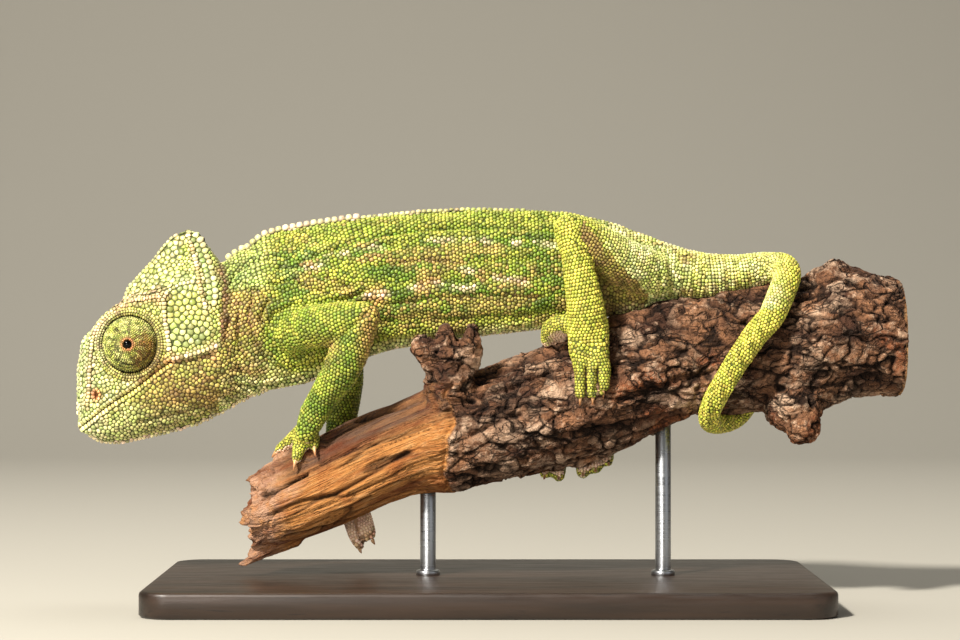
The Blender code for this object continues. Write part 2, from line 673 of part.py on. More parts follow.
# A point inside each node of flesh, to name the pieces after the cuts.
ANCHORS = {
    "head": (-66.0, 0, 54.0),
    "lower_jaw": (-65.8, 0, 38.4),
    "neck": (-50.1, 0, 50.2),
    "chest": (-20.0, 0, 62.0),
    "belly": (14.0, 0, 66.0),
    "pelvis": (30.5, 0, 66.0),
    "tail_base": (46.0, 0, 65.0),
    "tail_bend": (57.6, -5.0, 65.6),
    "tail_drop": (51.6, -12.8, 51.0),
    "tail_curl": (47.6, -3.0, 35.5),
    "tail_tip": (55.0, 12.4, 51.0),
    "left_upper_arm": (-28.0, -10.4, 56.0),
    "left_forearm": (-29.6, -9.8, 45.8),
    "left_forefoot_outer": (-35.4, -6.2, 34.6),
    "left_forefoot_inner": (-39.6, -1.0, 31.4),
    "right_upper_arm": (-32.0, 11.4, 50.4),
    "right_forearm": (-29.8, 13.6, 37.6),
    "right_forefoot_outer": (-28.6, 12.0, 20.8),
    "right_forefoot_inner": (-33.8, 12.4, 24.6),
    "left_thigh": (20.6, -9.4, 71.0),
    "left_shank": (18.0, -12.5, 64.0),
    "left_hindfoot_outer": (20.2, -12.4, 48.6),
    "left_hindfoot_inner": (14.6, -6.6, 54.6),
    "right_thigh": (21.0, 11.2, 64.6),
    "right_shank": (17.2, 16.0, 52.4),
    "right_hindfoot_outer": (21.0, 11.0, 33.4),
    "right_hindfoot_inner": (15.0, 11.0, 32.0),
}


def part_flesh(flesh):
    """Separates the cut flesh into named nodes, and drops crumbs."""
    work = bmesh.new()
    work.from_mesh(flesh.data)
    work.faces.ensure_lookup_table()
    seen, islands = set(), []
    for face in work.faces:
        if face in seen:
            continue
        island, todo = [], [face]
        seen.add(face)
        while todo:
            here = todo.pop()
            island.append(here)
            for edge in here.edges:
                for near in edge.link_faces:
                    if near not in seen:
                        seen.add(near)
                        todo.append(near)
        islands.append(island)
    nodes = []
    free = dict(ANCHORS)
    for island in sorted(islands, key=len, reverse=True):
        verts = list({v for face in island for v in face.verts})
        low = np.min([v.co for v in verts], axis=0)
        high = np.max([v.co for v in verts], axis=0)
        if np.linalg.norm(high - low) < 1.5 * MM or not free:
            continue
        centre = np.mean([v.co for v in verts], axis=0) / MM
        name = min(free, key=lambda n: np.linalg.norm(np.array(free[n]) - centre))
        del free[name]
        index = {v: i for i, v in enumerate(verts)}
        mesh = bpy.data.meshes.new(name)
        mesh.from_pydata([v.co for v in verts], [], [[index[v] for v in face.verts] for face in island])
        obj = bpy.data.objects.new(name, mesh)
        bpy.context.scene.collection.objects.link(obj)
        nodes.append(thinned(obj))
    work.free()
    bpy.data.objects.remove(flesh)
    if free:
        raise RuntimeError(f"no piece of flesh was found for {sorted(free)}")
    return nodes


def rounded_plate():
    """The stand's flat base."""
    outline = []
    for turn, (sx, sy) in enumerate(((1, 1), (-1, 1), (-1, -1), (1, -1))):
        x = sx * (BASE_LENGTH / 2 - BASE_CORNER)
        y = sy * (BASE_WIDTH / 2 - BASE_CORNER)
        for step in range(6):
            angle = math.pi / 2 * (turn + step / 5)
            outline.append((x + BASE_CORNER * math.cos(angle), y + BASE_CORNER * math.sin(angle)))
    bevel = 0.8
    rings = [[(x, y, 0.0) for x, y in outline], [(x, y, BASE_HEIGHT - bevel) for x, y in outline]]
    rings.append(
        [(x - math.copysign(bevel, x), y - math.copysign(bevel, y), BASE_HEIGHT) for x, y in outline]
    )
    return loft("stand_base", rings)


def make_stand(branch):
    """The base and its two rods, each set in a drilled hole at both ends."""
    base = rounded_plate()
    made = [(base, "stand")]
    for name, x in zip(("stand_rod_front", "stand_rod_rear"), ROD_PLACES):
        middle, high, _ = row_at(BRANCH, x)
        low, top = BASE_HEIGHT - ROD_DEPTH, middle - high + ROD_GRIP
        bore = ROD_RADIUS + GAP
        boolean(base, drum("bore", (x, 0, low - GAP), (x, 0, BASE_HEIGHT + 5), bore), "DIFFERENCE")
        boolean(branch, drum("bore", (x, 0, top - ROD_GRIP - 14), (x, 0, top + GAP), bore), "DIFFERENCE")
        made.append((drum(name, (x, 0, low), (x, 0, top), ROD_RADIUS), "steel"))
    return made


def main():
    for obj in list(bpy.data.objects):
        bpy.data.objects.remove(obj)
    leg_forms, claws = make_legs()
    flesh = make_flesh([make_trunk(), make_head(), make_tail(), *leg_forms])
    boolean(flesh, join("claws", claws), "UNION")
    boolean(flesh, make_branch(GAP), "DIFFERENCE")
    nodes = make_eyes(flesh)
    for cutter in part_cuts():
        boolean(flesh, cutter, "DIFFERENCE")
    nodes += [(node, "skin") for node in part_flesh(flesh)]
    branch = make_branch()
    branch.name = "perch_branch"
    nodes.append((branch, "bark"))
    nodes += make_stand(branch)
    for obj, look in nodes:
        finish(obj, look)


main()
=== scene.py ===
import math

import bpy
import numpy as np
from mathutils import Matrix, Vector
from mathutils.bvhtree import BVHTree
from mathutils.kdtree import KDTree


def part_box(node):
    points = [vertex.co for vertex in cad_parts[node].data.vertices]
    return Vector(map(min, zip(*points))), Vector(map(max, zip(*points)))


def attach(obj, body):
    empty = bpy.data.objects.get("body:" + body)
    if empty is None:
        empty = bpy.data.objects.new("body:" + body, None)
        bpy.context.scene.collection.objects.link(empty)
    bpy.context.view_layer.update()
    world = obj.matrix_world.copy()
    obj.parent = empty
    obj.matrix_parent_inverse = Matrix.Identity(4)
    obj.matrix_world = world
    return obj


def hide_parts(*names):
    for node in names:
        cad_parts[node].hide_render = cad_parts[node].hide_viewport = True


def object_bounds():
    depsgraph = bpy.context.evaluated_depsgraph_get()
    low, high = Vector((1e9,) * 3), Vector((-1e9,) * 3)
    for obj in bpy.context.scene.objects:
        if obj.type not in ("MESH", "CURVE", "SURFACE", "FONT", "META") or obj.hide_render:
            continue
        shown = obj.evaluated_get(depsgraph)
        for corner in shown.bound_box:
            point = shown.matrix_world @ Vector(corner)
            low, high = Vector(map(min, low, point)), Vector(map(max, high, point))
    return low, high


# A common chameleon on a piece of dead branch, held by a plain stand. Lengths are in millimetres
# up to the point where a mesh is made. The animal looks along -X and its left side faces -Y.

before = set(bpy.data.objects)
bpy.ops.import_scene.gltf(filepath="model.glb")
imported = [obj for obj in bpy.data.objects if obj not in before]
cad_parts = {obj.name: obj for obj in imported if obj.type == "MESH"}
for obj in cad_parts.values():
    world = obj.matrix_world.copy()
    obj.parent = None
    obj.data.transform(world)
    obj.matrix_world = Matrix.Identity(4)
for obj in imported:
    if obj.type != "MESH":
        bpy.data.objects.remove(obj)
cadBox = [list(corner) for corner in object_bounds()]
mm = 0.001
random = np.random.default_rng(41)


# Tables and curves

def smoothRows(rows, count):  # rows on a smooth curve through the given ones, evenly spaced
    rows = np.array(rows, float)
    ends = np.vstack((2 * rows[0] - rows[1], rows, 2 * rows[-1] - rows[-2]))
    fine = []
    for i in range(1, len(ends) - 2):
        a, b, c, d = ends[i - 1 : i + 3]
        t = np.linspace(0, 1, 16, endpoint=False)[:, None]
        bend = (2 * a - 5 * b + 4 * c - d) * t**2 + (3 * b - a - 3 * c + d) * t**3
        fine.append(b + 0.5 * ((c - a) * t + bend))
    fine = np.vstack((*fine, rows[-1:]))
    steps = np.linalg.norm(np.diff(fine[:, :3], axis=0), axis=1)
    walked = np.concatenate(([0], np.cumsum(steps)))
    even = np.linspace(0, walked[-1], count)
    return np.column_stack([np.interp(even, walked, column) for column in fine.T])


def fineTable(table):
    table = np.array(table, float)
    return smoothRows(np.column_stack((table[:, 0], np.zeros((len(table), 2)), table[:, 1:])), 240)


def unit(v):
    v = np.asarray(v, float)
    return v / np.maximum(np.linalg.norm(v, axis=-1, keepdims=True), 1e-9)


# The branch's middle line: x, middle height, half height, half depth
branchTable = fineTable((
    (-46.4, 17.6, 7.6, 7.4), (-43.0, 19.0, 9.2, 8.8), (-36.4, 21.4, 9.9, 9.4), (-28.4, 25.2, 10.6, 9.8),
    (-20.4, 28.8, 10.2, 10.0), (-12.4, 32.0, 10.4, 10.2), (-8.4, 32.8, 11.9, 11.0), (3.6, 36.2, 12.4, 11.6),
    (11.6, 38.6, 12.8, 12.0), (19.6, 40.2, 12.8, 12.2), (27.6, 42.8, 12.6, 12.0), (33.6, 46.2, 12.6, 11.8),
    (41.6, 48.2, 11.6, 11.2), (49.6, 49.4, 11.6, 11.0), (57.6, 50.2, 12.6, 11.6), (64.0, 50.6, 14.2, 12.4),
    (70.0, 53.0, 14.0, 12.2), (76.0, 53.2, 12.4, 11.4), (82.4, 52.0, 11.8, 10.8),
))


def branchAt(x):
    return [np.interp(x, branchTable[:, 0], column) for column in branchTable.T[3:]]


def axisHeight(x):  # the height of the branch's middle line
    return np.interp(x, branchTable[:, 0], branchTable[:, 3])


def onBranch(x, degrees, lift):  # 0 degrees is the branch's near side, 90 its top, 180 its far side
    middle, high, deep = branchAt(x)
    turn = math.radians(degrees)
    return (x, -(deep + lift) * math.cos(turn), middle + (high + lift) * math.sin(turn))


# The trunk: x, back, belly, half width
trunkTable = fineTable((
    (-58.0, 60.0, 37.2, 5.6), (-50.0, 68.6, 39.3, 6.4), (-44.4, 73.2, 41.6, 6.8), (-36.4, 75.0, 43.2, 7.1),
    (-28.4, 76.2, 46.0, 7.0), (-20.4, 77.2, 49.6, 6.9), (-4.4, 78.2, 52.2, 6.8), (11.6, 78.0, 54.0, 6.4),
    (19.6, 76.8, 55.4, 6.0), (25.6, 75.2, 57.2, 5.6), (31.6, 73.0, 59.0, 5.0), (37.6, 70.8, 60.0, 4.5),
    (43.6, 69.5, 60.2, 4.1), (49.6, 69.2, 61.4, 3.5), (55.6, 69.8, 62.8, 3.2),
))


def trunkAt(x):  # the heights of the back and the belly, and the half width
    return [np.interp(x, trunkTable[:, 0], column) for column in trunkTable.T[3:]]


mouthCorner = np.array((-59.4, 0.0, 49.0))
headPitch = math.radians(36)
ahead = np.array((-math.cos(headPitch), 0.0, -math.sin(headPitch)))
headUp = np.array((-math.sin(headPitch), 0.0, math.cos(headPitch)))
eyeCentre = mouthCorner + ahead * 7.9 + headUp * 8.5  # of the left and right eye, at y = 0
eyeSide = 4.7  # from there to the middle of each turret


def tailPath():
    path = [(50.0, 0.0, 65.5, 3.5), (55.0, -0.6, 66.4, 3.2), (58.2, -3.4, 66.6, 3.0), (59.0, -7.6, 64.9, 2.9)]
    wrap = (  # x, degrees round the branch, radius
        (57.4, 44, 2.85), (55.4, 27, 2.75), (52.6, 16, 2.65), (50.2, 4, 2.55), (47.6, -11, 2.45),
        (45.2, -28, 2.4), (43.6, -48, 2.3), (44.0, -68, 2.2), (47.0, -88, 2.1), (50.4, -108, 2.0),
        (53.4, -130, 1.85), (56.4, -154, 1.7),
    )
    for x, degrees, radius in wrap:
        path.append((*onBranch(x, degrees, radius + 0.2), radius))
    for step in range(10):
        turn = math.radians(-40 + 42 * step)
        reach = 5.0 * (1 - step / 14)
        degrees = -194 - math.degrees(reach * math.sin(turn) / 12.6)
        radius = 1.5 - 0.09 * step
        path.append((*onBranch(54.6 + reach * math.cos(turn), degrees, radius + 0.2), radius))
    return [(44.0, 0.0, 64.9, 4.1), *path]


# Each limb: its name, its length's points of x, y, z and radius, and the size of its scales
limbs = [
    ("armLeft", ((-39.6, -4.2, 53.4, 4.2), (-33.4, -8.8, 54.8, 4.3),
                 (-28.6, -11.0, 55.8, 3.9), (-24.4, -12.2, 56.4, 3.5)), 0.74),
    ("forearmLeft", ((-24.6, -12.2, 56.2, 3.5), (-27.2, -11.2, 49.8, 4.0), (-29.2, -10.2, 45.4, 3.7),
                     (-32.2, -8.4, 41.2, 3.1), (-34.4, -6.8, 37.6, 3.0), (-35.6, -6.0, 35.2, 2.4)), 0.72),
    ("armRight", ((-39.4, 4.2, 53.2, 4.2), (-34.6, 9.0, 52.6, 4.3),
                  (-31.4, 11.4, 51.0, 3.9), (-28.8, 13.2, 48.6, 3.5)), 0.74),
    ("forearmRight", ((-28.8, 13.2, 48.8, 3.5), (-29.4, 14.2, 42.6, 3.9), (-30.0, 14.2, 36.0, 3.3),
                      (-30.6, 13.6, 30.0, 2.9), (-30.4, 12.6, 25.6, 2.4)), 0.72),
    ("thighLeft", ((33.0, -2.4, 64.8, 4.8), (26.4, -6.6, 67.6, 4.8),
                   (20.4, -9.8, 71.4, 4.2), (16.0, -11.6, 73.8, 3.3)), 0.7),
    ("shankLeft", ((15.8, -11.8, 73.8, 3.2), (17.0, -12.6, 68.8, 2.9), (18.3, -12.8, 62.6, 3.5),
                   (19.2, -12.2, 57.4, 3.9), (19.6, -11.6, 54.0, 3.6), (19.8, -11.2, 51.6, 2.6)), 0.72),
    ("thighRight", ((33.0, 2.4, 64.8, 4.8), (26.4, 7.6, 65.2, 4.8),
                    (20.6, 11.4, 64.8, 4.2), (16.4, 14.0, 63.8, 3.3)), 0.7),
    ("shankRight", ((16.2, 14.0, 63.8, 3.2), (16.6, 15.8, 57.6, 2.9), (17.4, 16.8, 50.6, 3.5),
                    (18.2, 16.6, 44.8, 3.8), (18.8, 16.0, 41.6, 3.6), (19.0, 14.8, 38.8, 2.6)), 0.72),
    ("tail", tailPath(), 0.7),
]

# Each bundle of toes: its name, the palm, the toes' radius, and each toe's points
bundles = [
    ("foreOuterLeft", (-35.6, -6.0, 35.2), 1.3, (
        (onBranch(-37.2, 60, 1.9), onBranch(-37.8, 46, 1.3)),
        (onBranch(-34.8, 66, 2.0), onBranch(-34.4, 52, 1.3)))),
    ("foreInnerLeft", (-35.6, -6.0, 35.2), 1.2, (
        (onBranch(-39.4, 82, 2.0), onBranch(-41.6, 88, 1.3)),
        (onBranch(-39.2, 96, 2.0), onBranch(-41.0, 106, 1.3)),
        (onBranch(-38.2, 106, 2.0), onBranch(-39.4, 121, 1.3)))),
    ("foreOuterRight", (-30.4, 12.6, 25.6), 1.45, (
        ((-29.4, 11.8, 18.8), (-27.0, 9.8, 12.0)),
        ((-27.2, 12.2, 19.4), (-24.6, 10.6, 13.6)))),
    ("foreInnerRight", (-30.4, 12.6, 25.6), 1.2, (
        (onBranch(-34.0, 167, 2.0), onBranch(-37.2, 162, 1.3)),
        (onBranch(-34.2, 179, 2.0), onBranch(-37.4, 178, 1.3)),
        (onBranch(-33.8, 191, 2.0), onBranch(-36.4, 194, 1.3)))),
    ("hindOuterLeft", (19.8, -11.2, 51.6), 1.45, (
        (onBranch(18.4, 26, 2.2), onBranch(18.0, 5, 1.4)),
        (onBranch(20.4, 25, 2.3), onBranch(20.4, 3, 1.4)),
        (onBranch(22.2, 27, 2.2), onBranch(22.4, 6, 1.4)))),
    ("hindInnerLeft", (19.0, -10.6, 54.4), 1.6, (
        ((15.0, -9.6, 55.4), (12.4, -7.0, 54.4), onBranch(11.8, 70, 1.4)),
        ((15.8, -8.0, 55.0), (14.4, -5.7, 54.0), onBranch(14.4, 74, 1.3)))),
    ("hindOuterRight", (19.0, 14.8, 38.8), 1.35, (
        (onBranch(19.0, 212, 2.4), onBranch(19.2, 244, 2.2), onBranch(19.0, 268, 1.9)),
        (onBranch(20.8, 210, 2.4), onBranch(21.6, 240, 2.2), onBranch(21.6, 262, 1.9)),
        (onBranch(22.4, 206, 2.2), onBranch(24.0, 232, 2.1), onBranch(24.2, 254, 1.8)))),
    ("hindInnerRight", (19.0, 14.8, 38.8), 1.45, (
        (onBranch(16.0, 208, 2.4), onBranch(14.4, 236, 2.1), onBranch(14.2, 262, 1.7)),
        (onBranch(15.4, 198, 2.3), onBranch(12.4, 224, 2.0), onBranch(11.6, 248, 1.7)))),
]


def makeAxes():  # every middle line that rows of scales go round
    axes = []
    for name, points, size in limbs:
        points = np.array(points)
        length = np.linalg.norm(np.diff(points[:, :3], axis=0), axis=1).sum()
        axes.append({"name": name, "path": smoothRows(points, int(length / 0.4)), "size": size, "toe": False})
    for name, palm, radius, toes in bundles:
        for number, toe in enumerate(toes):
            points = [(*palm, radius * 1.45)]
            points += [(*p, radius * (1.2 if i < len(toe) - 1 else 0.95)) for i, p in enumerate(toe)]
            points = np.array(points)
            end = points[-1].copy()
            end[:3] += unit(points[-1, :3] - points[-2, :3]) * radius * 0.7
            end[3] *= 0.75
            path = smoothRows(np.vstack((points, end)), 26)
            axes.append({"name": f"{name}{number}", "path": path, "size": 0.6, "toe": True})
    return axes


# Noise and distances

def latticeNoise(points, seed):  # smooth noise from -1 to 1
    points = np.asarray(points, float)
    base = np.floor(points).astype(np.int64)
    part = points - base
    part = part * part * (3 - 2 * part)
    total = np.zeros(len(points))
    for corner in range(8):
        offset = np.array([(corner >> k) & 1 for k in range(3)])
        cell = base + offset
        key = cell[:, 0] * 73856093 ^ cell[:, 1] * 19349663 ^ cell[:, 2] * 83492791 ^ (seed * 2654435)
        key = (key ^ (key >> 13)) * 1274126177
        key ^= key >> 16
        total += ((key & 65535) / 32767.5 - 1) * np.prod(np.where(offset, part, 1 - part), axis=1)
    return total


def cloud(points, size, seed, layers=3):  # layered noise whose widest waves are about size across
    total, weight = 0.0, 0.0
    for layer in range(layers):
        places = np.asarray(points) * (2.0**layer / size) + 17.3 * layer
        total = total + latticeNoise(places, seed + layer) / 1.9**layer
        weight += 1 / 1.9**layer
    return total / weight


def step(value, low, high):  # 0 below low, 1 above high, smooth between
    t = np.clip((value - low) / (high - low), 0, 1)
    return t * t * (3 - 2 * t)


def between(value, low, lowEnd, high, highEnd):  # 1 in a stretch, with a smooth start and end
    return step(value, low, lowEnd) * (1 - step(value, high, highEnd))


def lineDistance(points, line):  # distance from flat points to a chain of flat points
    points, line = np.asarray(points, float), np.array(line, float)
    best = np.full(len(points), 1e9)
    for a, b in zip(line[:-1], line[1:]):
        way = b - a
        t = np.clip(((points - a) @ way) / max(way @ way, 1e-9), 0, 1)
        best = np.minimum(best, np.linalg.norm(points - (a + t[:, None] * way), axis=1))
    return best


def inside(points, outline):  # which flat points lie in a closed outline
    result = np.zeros(len(points), bool)
    outline = np.array(outline, float)
    for a, b in zip(outline, np.roll(outline, -1, axis=0)):
        crosses = (a[1] > points[:, 1]) != (b[1] > points[:, 1])
        rise = b[1] - a[1] if abs(b[1] - a[1]) > 1e-9 else 1e-9
        result ^= crosses & (points[:, 0] < (b[0] - a[0]) * (points[:, 1] - a[1]) / rise + a[0])
    return result


def bump(distance, width):
    return np.exp(-((distance / width) ** 2))


# Meshes

def addAttributes(mesh, attributes):
    for key, values in attributes.items():
        values = np.asarray(values, np.float32)
        layer = mesh.attributes.new(key, "FLOAT" if values.ndim == 1 else "FLOAT_VECTOR", "POINT")
        layer.data.foreach_set("value" if values.ndim == 1 else "vector", values.ravel())


def makeObject(name, points, loops, sizes, attributes=None, uv=None):
    mesh = bpy.data.meshes.new(name)
    mesh.vertices.add(len(points))
    mesh.vertices.foreach_set("co", (np.asarray(points) * mm).astype(np.float32).ravel())
    mesh.loops.add(len(loops))
    mesh.loops.foreach_set("vertex_index", np.asarray(loops, np.int32))
    mesh.polygons.add(len(sizes))
    starts = np.concatenate(([0], np.cumsum(sizes)[:-1]))
    mesh.polygons.foreach_set("loop_start", starts.astype(np.int32))
    mesh.update(calc_edges=True)
    mesh.polygons.foreach_set("use_smooth", np.ones(len(sizes), bool))
    addAttributes(mesh, attributes or {})
    if uv is not None:
        layer = mesh.uv_layers.new(name="OFBake")
        layer.data.foreach_set("uv", np.asarray(uv, np.float32).ravel())
    obj = bpy.data.objects.new(name, mesh)
    bpy.context.scene.collection.objects.link(obj)
    return obj


def readMesh(mesh):
    points = np.zeros(len(mesh.vertices) * 3)
    mesh.vertices.foreach_get("co", points)
    mesh.calc_loop_triangles()
    triangles = np.zeros(len(mesh.loop_triangles) * 3, np.int32)
    mesh.loop_triangles.foreach_get("vertices", triangles)
    edges = np.zeros(len(mesh.edges) * 2, np.int32)
    mesh.edges.foreach_get("vertices", edges)
    return points.reshape(-1, 3) / mm, triangles.reshape(-1, 3), edges.reshape(-1, 2)


def vertexNormals(points, triangles):
    a, b, c = (points[triangles[:, k]] for k in range(3))
    face = np.cross(b - a, c - a)
    normals = np.column_stack([
        sum(np.bincount(triangles[:, k], face[:, axis], len(points)) for k in range(3)) for axis in range(3)
    ])
    return unit(normals)


def averaged(values, edges):  # each vertex's mean over its neighbours
    count = np.bincount(edges.ravel(), minlength=len(values))
    total = np.column_stack([
        np.bincount(edges[:, 0], column[edges[:, 1]], len(values))
        + np.bincount(edges[:, 1], column[edges[:, 0]], len(values))
        for column in values.T
    ])
    return total / np.maximum(count, 1)[:, None]


def smoothed(points, edges, rounds):  # evens the surface out and keeps its volume
    for _ in range(rounds):
        points = points + 0.52 * (averaged(points, edges) - points)
        points = points - 0.54 * (averaged(points, edges) - points)
    return points


def ringTurns(count):  # angles at even steps round a circle
    return np.linspace(0, 2 * math.pi, count, endpoint=False)


def sideRing(centre, reach, turns, y):  # a ring round a centre as seen from the side, at the depth y
    return np.column_stack((
        centre[0] + reach * np.cos(turns), np.full(len(turns), y), centre[-1] + reach * np.sin(turns),
    ))


def evenly(chain, pitch):  # points at even steps on a chain
    chain = np.asarray(chain, float)
    steps = np.linalg.norm(np.diff(chain, axis=0), axis=1)
    walked = np.concatenate(([0], np.cumsum(steps)))
    places = np.arange(0.0, walked[-1], pitch)
    return np.column_stack([np.interp(places, walked, column) for column in chain.T])


def latheFaces(rings, sides, flip):  # a closed skin of rings, with both ends capped
    faces = []
    for r in range(rings - 1):
        for k in range(sides):
            a, b = r * sides + k, r * sides + (k + 1) % sides
            face = [a, b, b + sides, a + sides]
            faces.append(face[::-1] if flip else face)
    first, last = list(range(sides)), [(rings - 1) * sides + k for k in range(sides)]
    faces += [first if flip else first[::-1], last[::-1] if flip else last]
    return np.array([c for f in faces for c in f]), np.array([len(f) for f in faces])


def beads(path, spacing=0.35):  # overlapping balls along a path of x, y, z and radius
    rows = evenly(smoothRows(path, 60), spacing)
    polar, turn = np.meshgrid(np.linspace(0.02, math.pi - 0.02, 9), ringTurns(16), indexing="ij")
    polar, turn = polar.ravel(), turn.ravel()
    ball = np.column_stack((np.sin(polar) * np.cos(turn), np.sin(polar) * np.sin(turn), np.cos(polar)))
    loops, sizes = latheFaces(9, 16, True)
    triangles, start = [], 0
    for size in sizes:
        face = loops[start : start + size]
        triangles += [(face[0], face[k], face[k + 1]) for k in range(1, size - 1)]
        start += size
    triangles = np.array(triangles)
    points = (rows[:, None, :3] + ball[None] * rows[:, None, 3:4]).reshape(-1, 3)
    return points, (triangles[None] + (np.arange(len(rows)) * len(ball))[:, None, None]).reshape(-1, 3)


def remeshed(name, nodes, voxel, swell, forms=()):  # one closed surface round several CAD nodes
    allPoints, allTriangles, offset = [], [], 0
    shapes = [beads(form) for form in forms]
    for node in nodes:
        points, triangles, _ = readMesh(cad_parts[node].data)
        shapes.append((points + vertexNormals(points, triangles) * swell, triangles))
    for points, triangles in shapes:
        allPoints.append(points)
        allTriangles.append(triangles + offset)
        offset += len(points)
    loops = np.vstack(allTriangles).ravel()
    obj = makeObject(name, np.vstack(allPoints), loops, np.full(len(loops) // 3, 3))
    modifier = obj.modifiers.new("remesh", "REMESH")
    modifier.mode = "VOXEL"
    modifier.voxel_size = voxel * mm
    modifier.use_smooth_shade = True
    bpy.context.view_layer.update()
    mesh = bpy.data.meshes.new_from_object(obj.evaluated_get(bpy.context.evaluated_depsgraph_get()))
    bpy.data.objects.remove(obj)
    final = bpy.data.objects.new(name, mesh)
    bpy.context.scene.collection.objects.link(final)
    return final


def setPoints(obj, points, attributes):
    mesh = obj.data
    mesh.vertices.foreach_set("co", (points * mm).astype(np.float32).ravel())
    addAttributes(mesh, attributes)
    mesh.polygons.foreach_set("use_smooth", np.ones(len(mesh.polygons), bool))
    mesh.update()


# The lines and fields of the head and trunk, seen from the side as x and z

sideLines = {
    "mouth": ((-81.2, 34.5), (-77.7, 37.2), (-74.1, 39.8), (-70.9, 41.7), (-67.8, 43.9), (-65.0, 46.1),
              (-62.6, 47.7)),
    "rictus": ((-62.6, 47.7), (-60.1, 47.9), (-56.9, 48.6), (-54.3, 49.5)),
    "cheekBand": ((-62.0, 48.4), (-58.8, 49.1), (-56.1, 49.9), (-53.3, 51.0)),
    "behindEye": ((-64.1, 60.0), (-63.8, 56.4), (-63.2, 52.8), (-62.8, 50.1)),
    "innerCrest": ((-59.8, 72.9), (-58.6, 69.3), (-57.6, 66.1), (-57.2, 63.7), (-56.4, 60.6), (-55.6, 58.2)),
    "rearEdge": ((-58.0, 72.9), (-56.6, 71.0), (-55.6, 68.7), (-54.7, 66.5), (-53.9, 63.7), (-53.5, 61.0),
                 (-53.8, 59.0)),
    "lateralCrest": ((-64.1, 60.0), (-63.3, 61.7), (-60.9, 63.1), (-58.0, 63.7)),
    "orbitTop": ((-74.2, 58.2), (-72.0, 59.4), (-69.6, 60.0), (-67.3, 60.3), (-65.3, 60.6), (-64.0, 60.4)),
    "brow": ((-74.6, 58.4), (-72.0, 59.9), (-69.0, 60.8), (-66.0, 61.4), (-63.6, 61.9)),
    "canthus": ((-74.2, 58.2), (-76.4, 56.4), (-77.8, 54.4), (-78.5, 52.0), (-78.8, 49.4), (-79.0, 46.6),
                (-79.1, 43.6), (-79.3, 41.0), (-79.6, 38.8)),
    "jawFold": ((-69.5, 35.7), (-65.2, 36.7), (-60.8, 37.8), (-54.5, 39.2), (-50.0, 41.6)),
    "backGroove": ((-37.2, 67.5), (-31.2, 69.6), (-26.0, 71.6), (-20.0, 72.8), (-11.5, 73.9), (0.4, 74.2),
                   (14.2, 73.4)),
    "backGrooveLow": ((-30.0, 67.4), (-24.0, 69.6), (-17.4, 71.6), (-9.5, 72.6), (2.4, 72.8), (13.8, 71.9)),
}
headRidges = {  # raised lines of the head, with their height and width
    "canthus": (0.6, 0.8), "orbitTop": (0.45, 0.8), "lateralCrest": (0.4, 0.8), "innerCrest": (0.62, 0.6),
    "rearEdge": (0.55, 0.8), "behindEye": (0.45, 0.7), "cheekBand": (0.65, 0.65),
}
nostril = np.array((-77.7, 41.1))
nostrilShape = np.array((1.35, 0.8))  # it is higher than wide
crownLine = np.array((  # the crown's outline: how far ahead of the mouth's corner, and how high above it
    (-14.3, 20.9), (-12.2, 21.4), (-10.4, 21.5), (-8.2, 21.0), (-5.1, 20.1), (-3.7, 19.8), (0.0, 19.1),
    (2.0, 18.8), (4.1, 17.2), (5.9, 16.4), (8.5, 16.7), (11.0, 16.7), (13.0, 15.6), (14.8, 15.7),
))
snoutLine = np.array((  # the snout's outline: height and x
    (33.6, -82.4), (37.6, -82.6), (41.0, -82.8), (45.0, -82.6), (48.0, -81.8), (51.0, -81.4), (53.0, -80.6),
    (55.0, -79.6),
))
folds = (  # creases of loose skin round the shoulder, the neck and the thigh, with their depth and width
    (((-43.6, 59.5), (-44.8, 56.0), (-43.8, 52.5), (-41.6, 50.0), (-38.6, 48.8), (-35.0, 49.6)), 0.75, 0.45),
    (((-48.6, 63.0), (-45.6, 62.0), (-43.1, 59.5)), 0.55, 0.45),
    (((-46.4, 60.5), (-47.2, 56.5), (-46.6, 52.0), (-44.1, 48.6), (-40.5, 46.6)), 0.5, 0.45),
    (((-49.2, 59.0), (-49.8, 55.0), (-49.0, 50.8), (-46.8, 47.4)), 0.4, 0.45),
    (((-51.4, 56.6), (-51.8, 52.6), (-50.8, 48.6), (-48.6, 45.6)), 0.36, 0.42),
    (((-51.6, 43.6), (-46.6, 43.0), (-41.6, 43.2), (-34.2, 45.0)), 0.4, 0.4),
    (((-42.4, 57.4), (-39.6, 58.4), (-34.5, 59.6), (-29.7, 60.5), (-25.0, 61.2)), 0.7, 0.4),
    (((-41.6, 66.0), (-36.6, 66.2), (-31.6, 64.6), (-27.8, 62.0)), 0.45, 0.45),
    (((-43.4, 63.4), (-38.6, 63.6), (-33.0, 61.8), (-29.0, 59.6)), 0.45, 0.45),
    (((-52.0, 62.8), (-49.4, 66.0), (-46.0, 67.6), (-40.8, 68.6)), 0.4, 0.45),
    (((18.9, 74.6), (23.0, 70.0), (27.2, 65.8), (31.6, 61.4)), 0.6, 0.5),
    (((26.0, 71.5), (29.0, 68.0), (32.8, 64.4)), 0.3, 0.4),
    (((-23.6, 66.6), (-14.0, 67.8), (-4.0, 67.4), (8.0, 68.0)), 0.3, 0.5),
    (((-20.0, 59.4), (-10.0, 60.2), (0.0, 61.0), (11.0, 60.4)), 0.25, 0.5),
    (((-31.4, 51.6), (-29.4, 54.0), (-27.4, 55.2)), 0.5, 0.4),
)
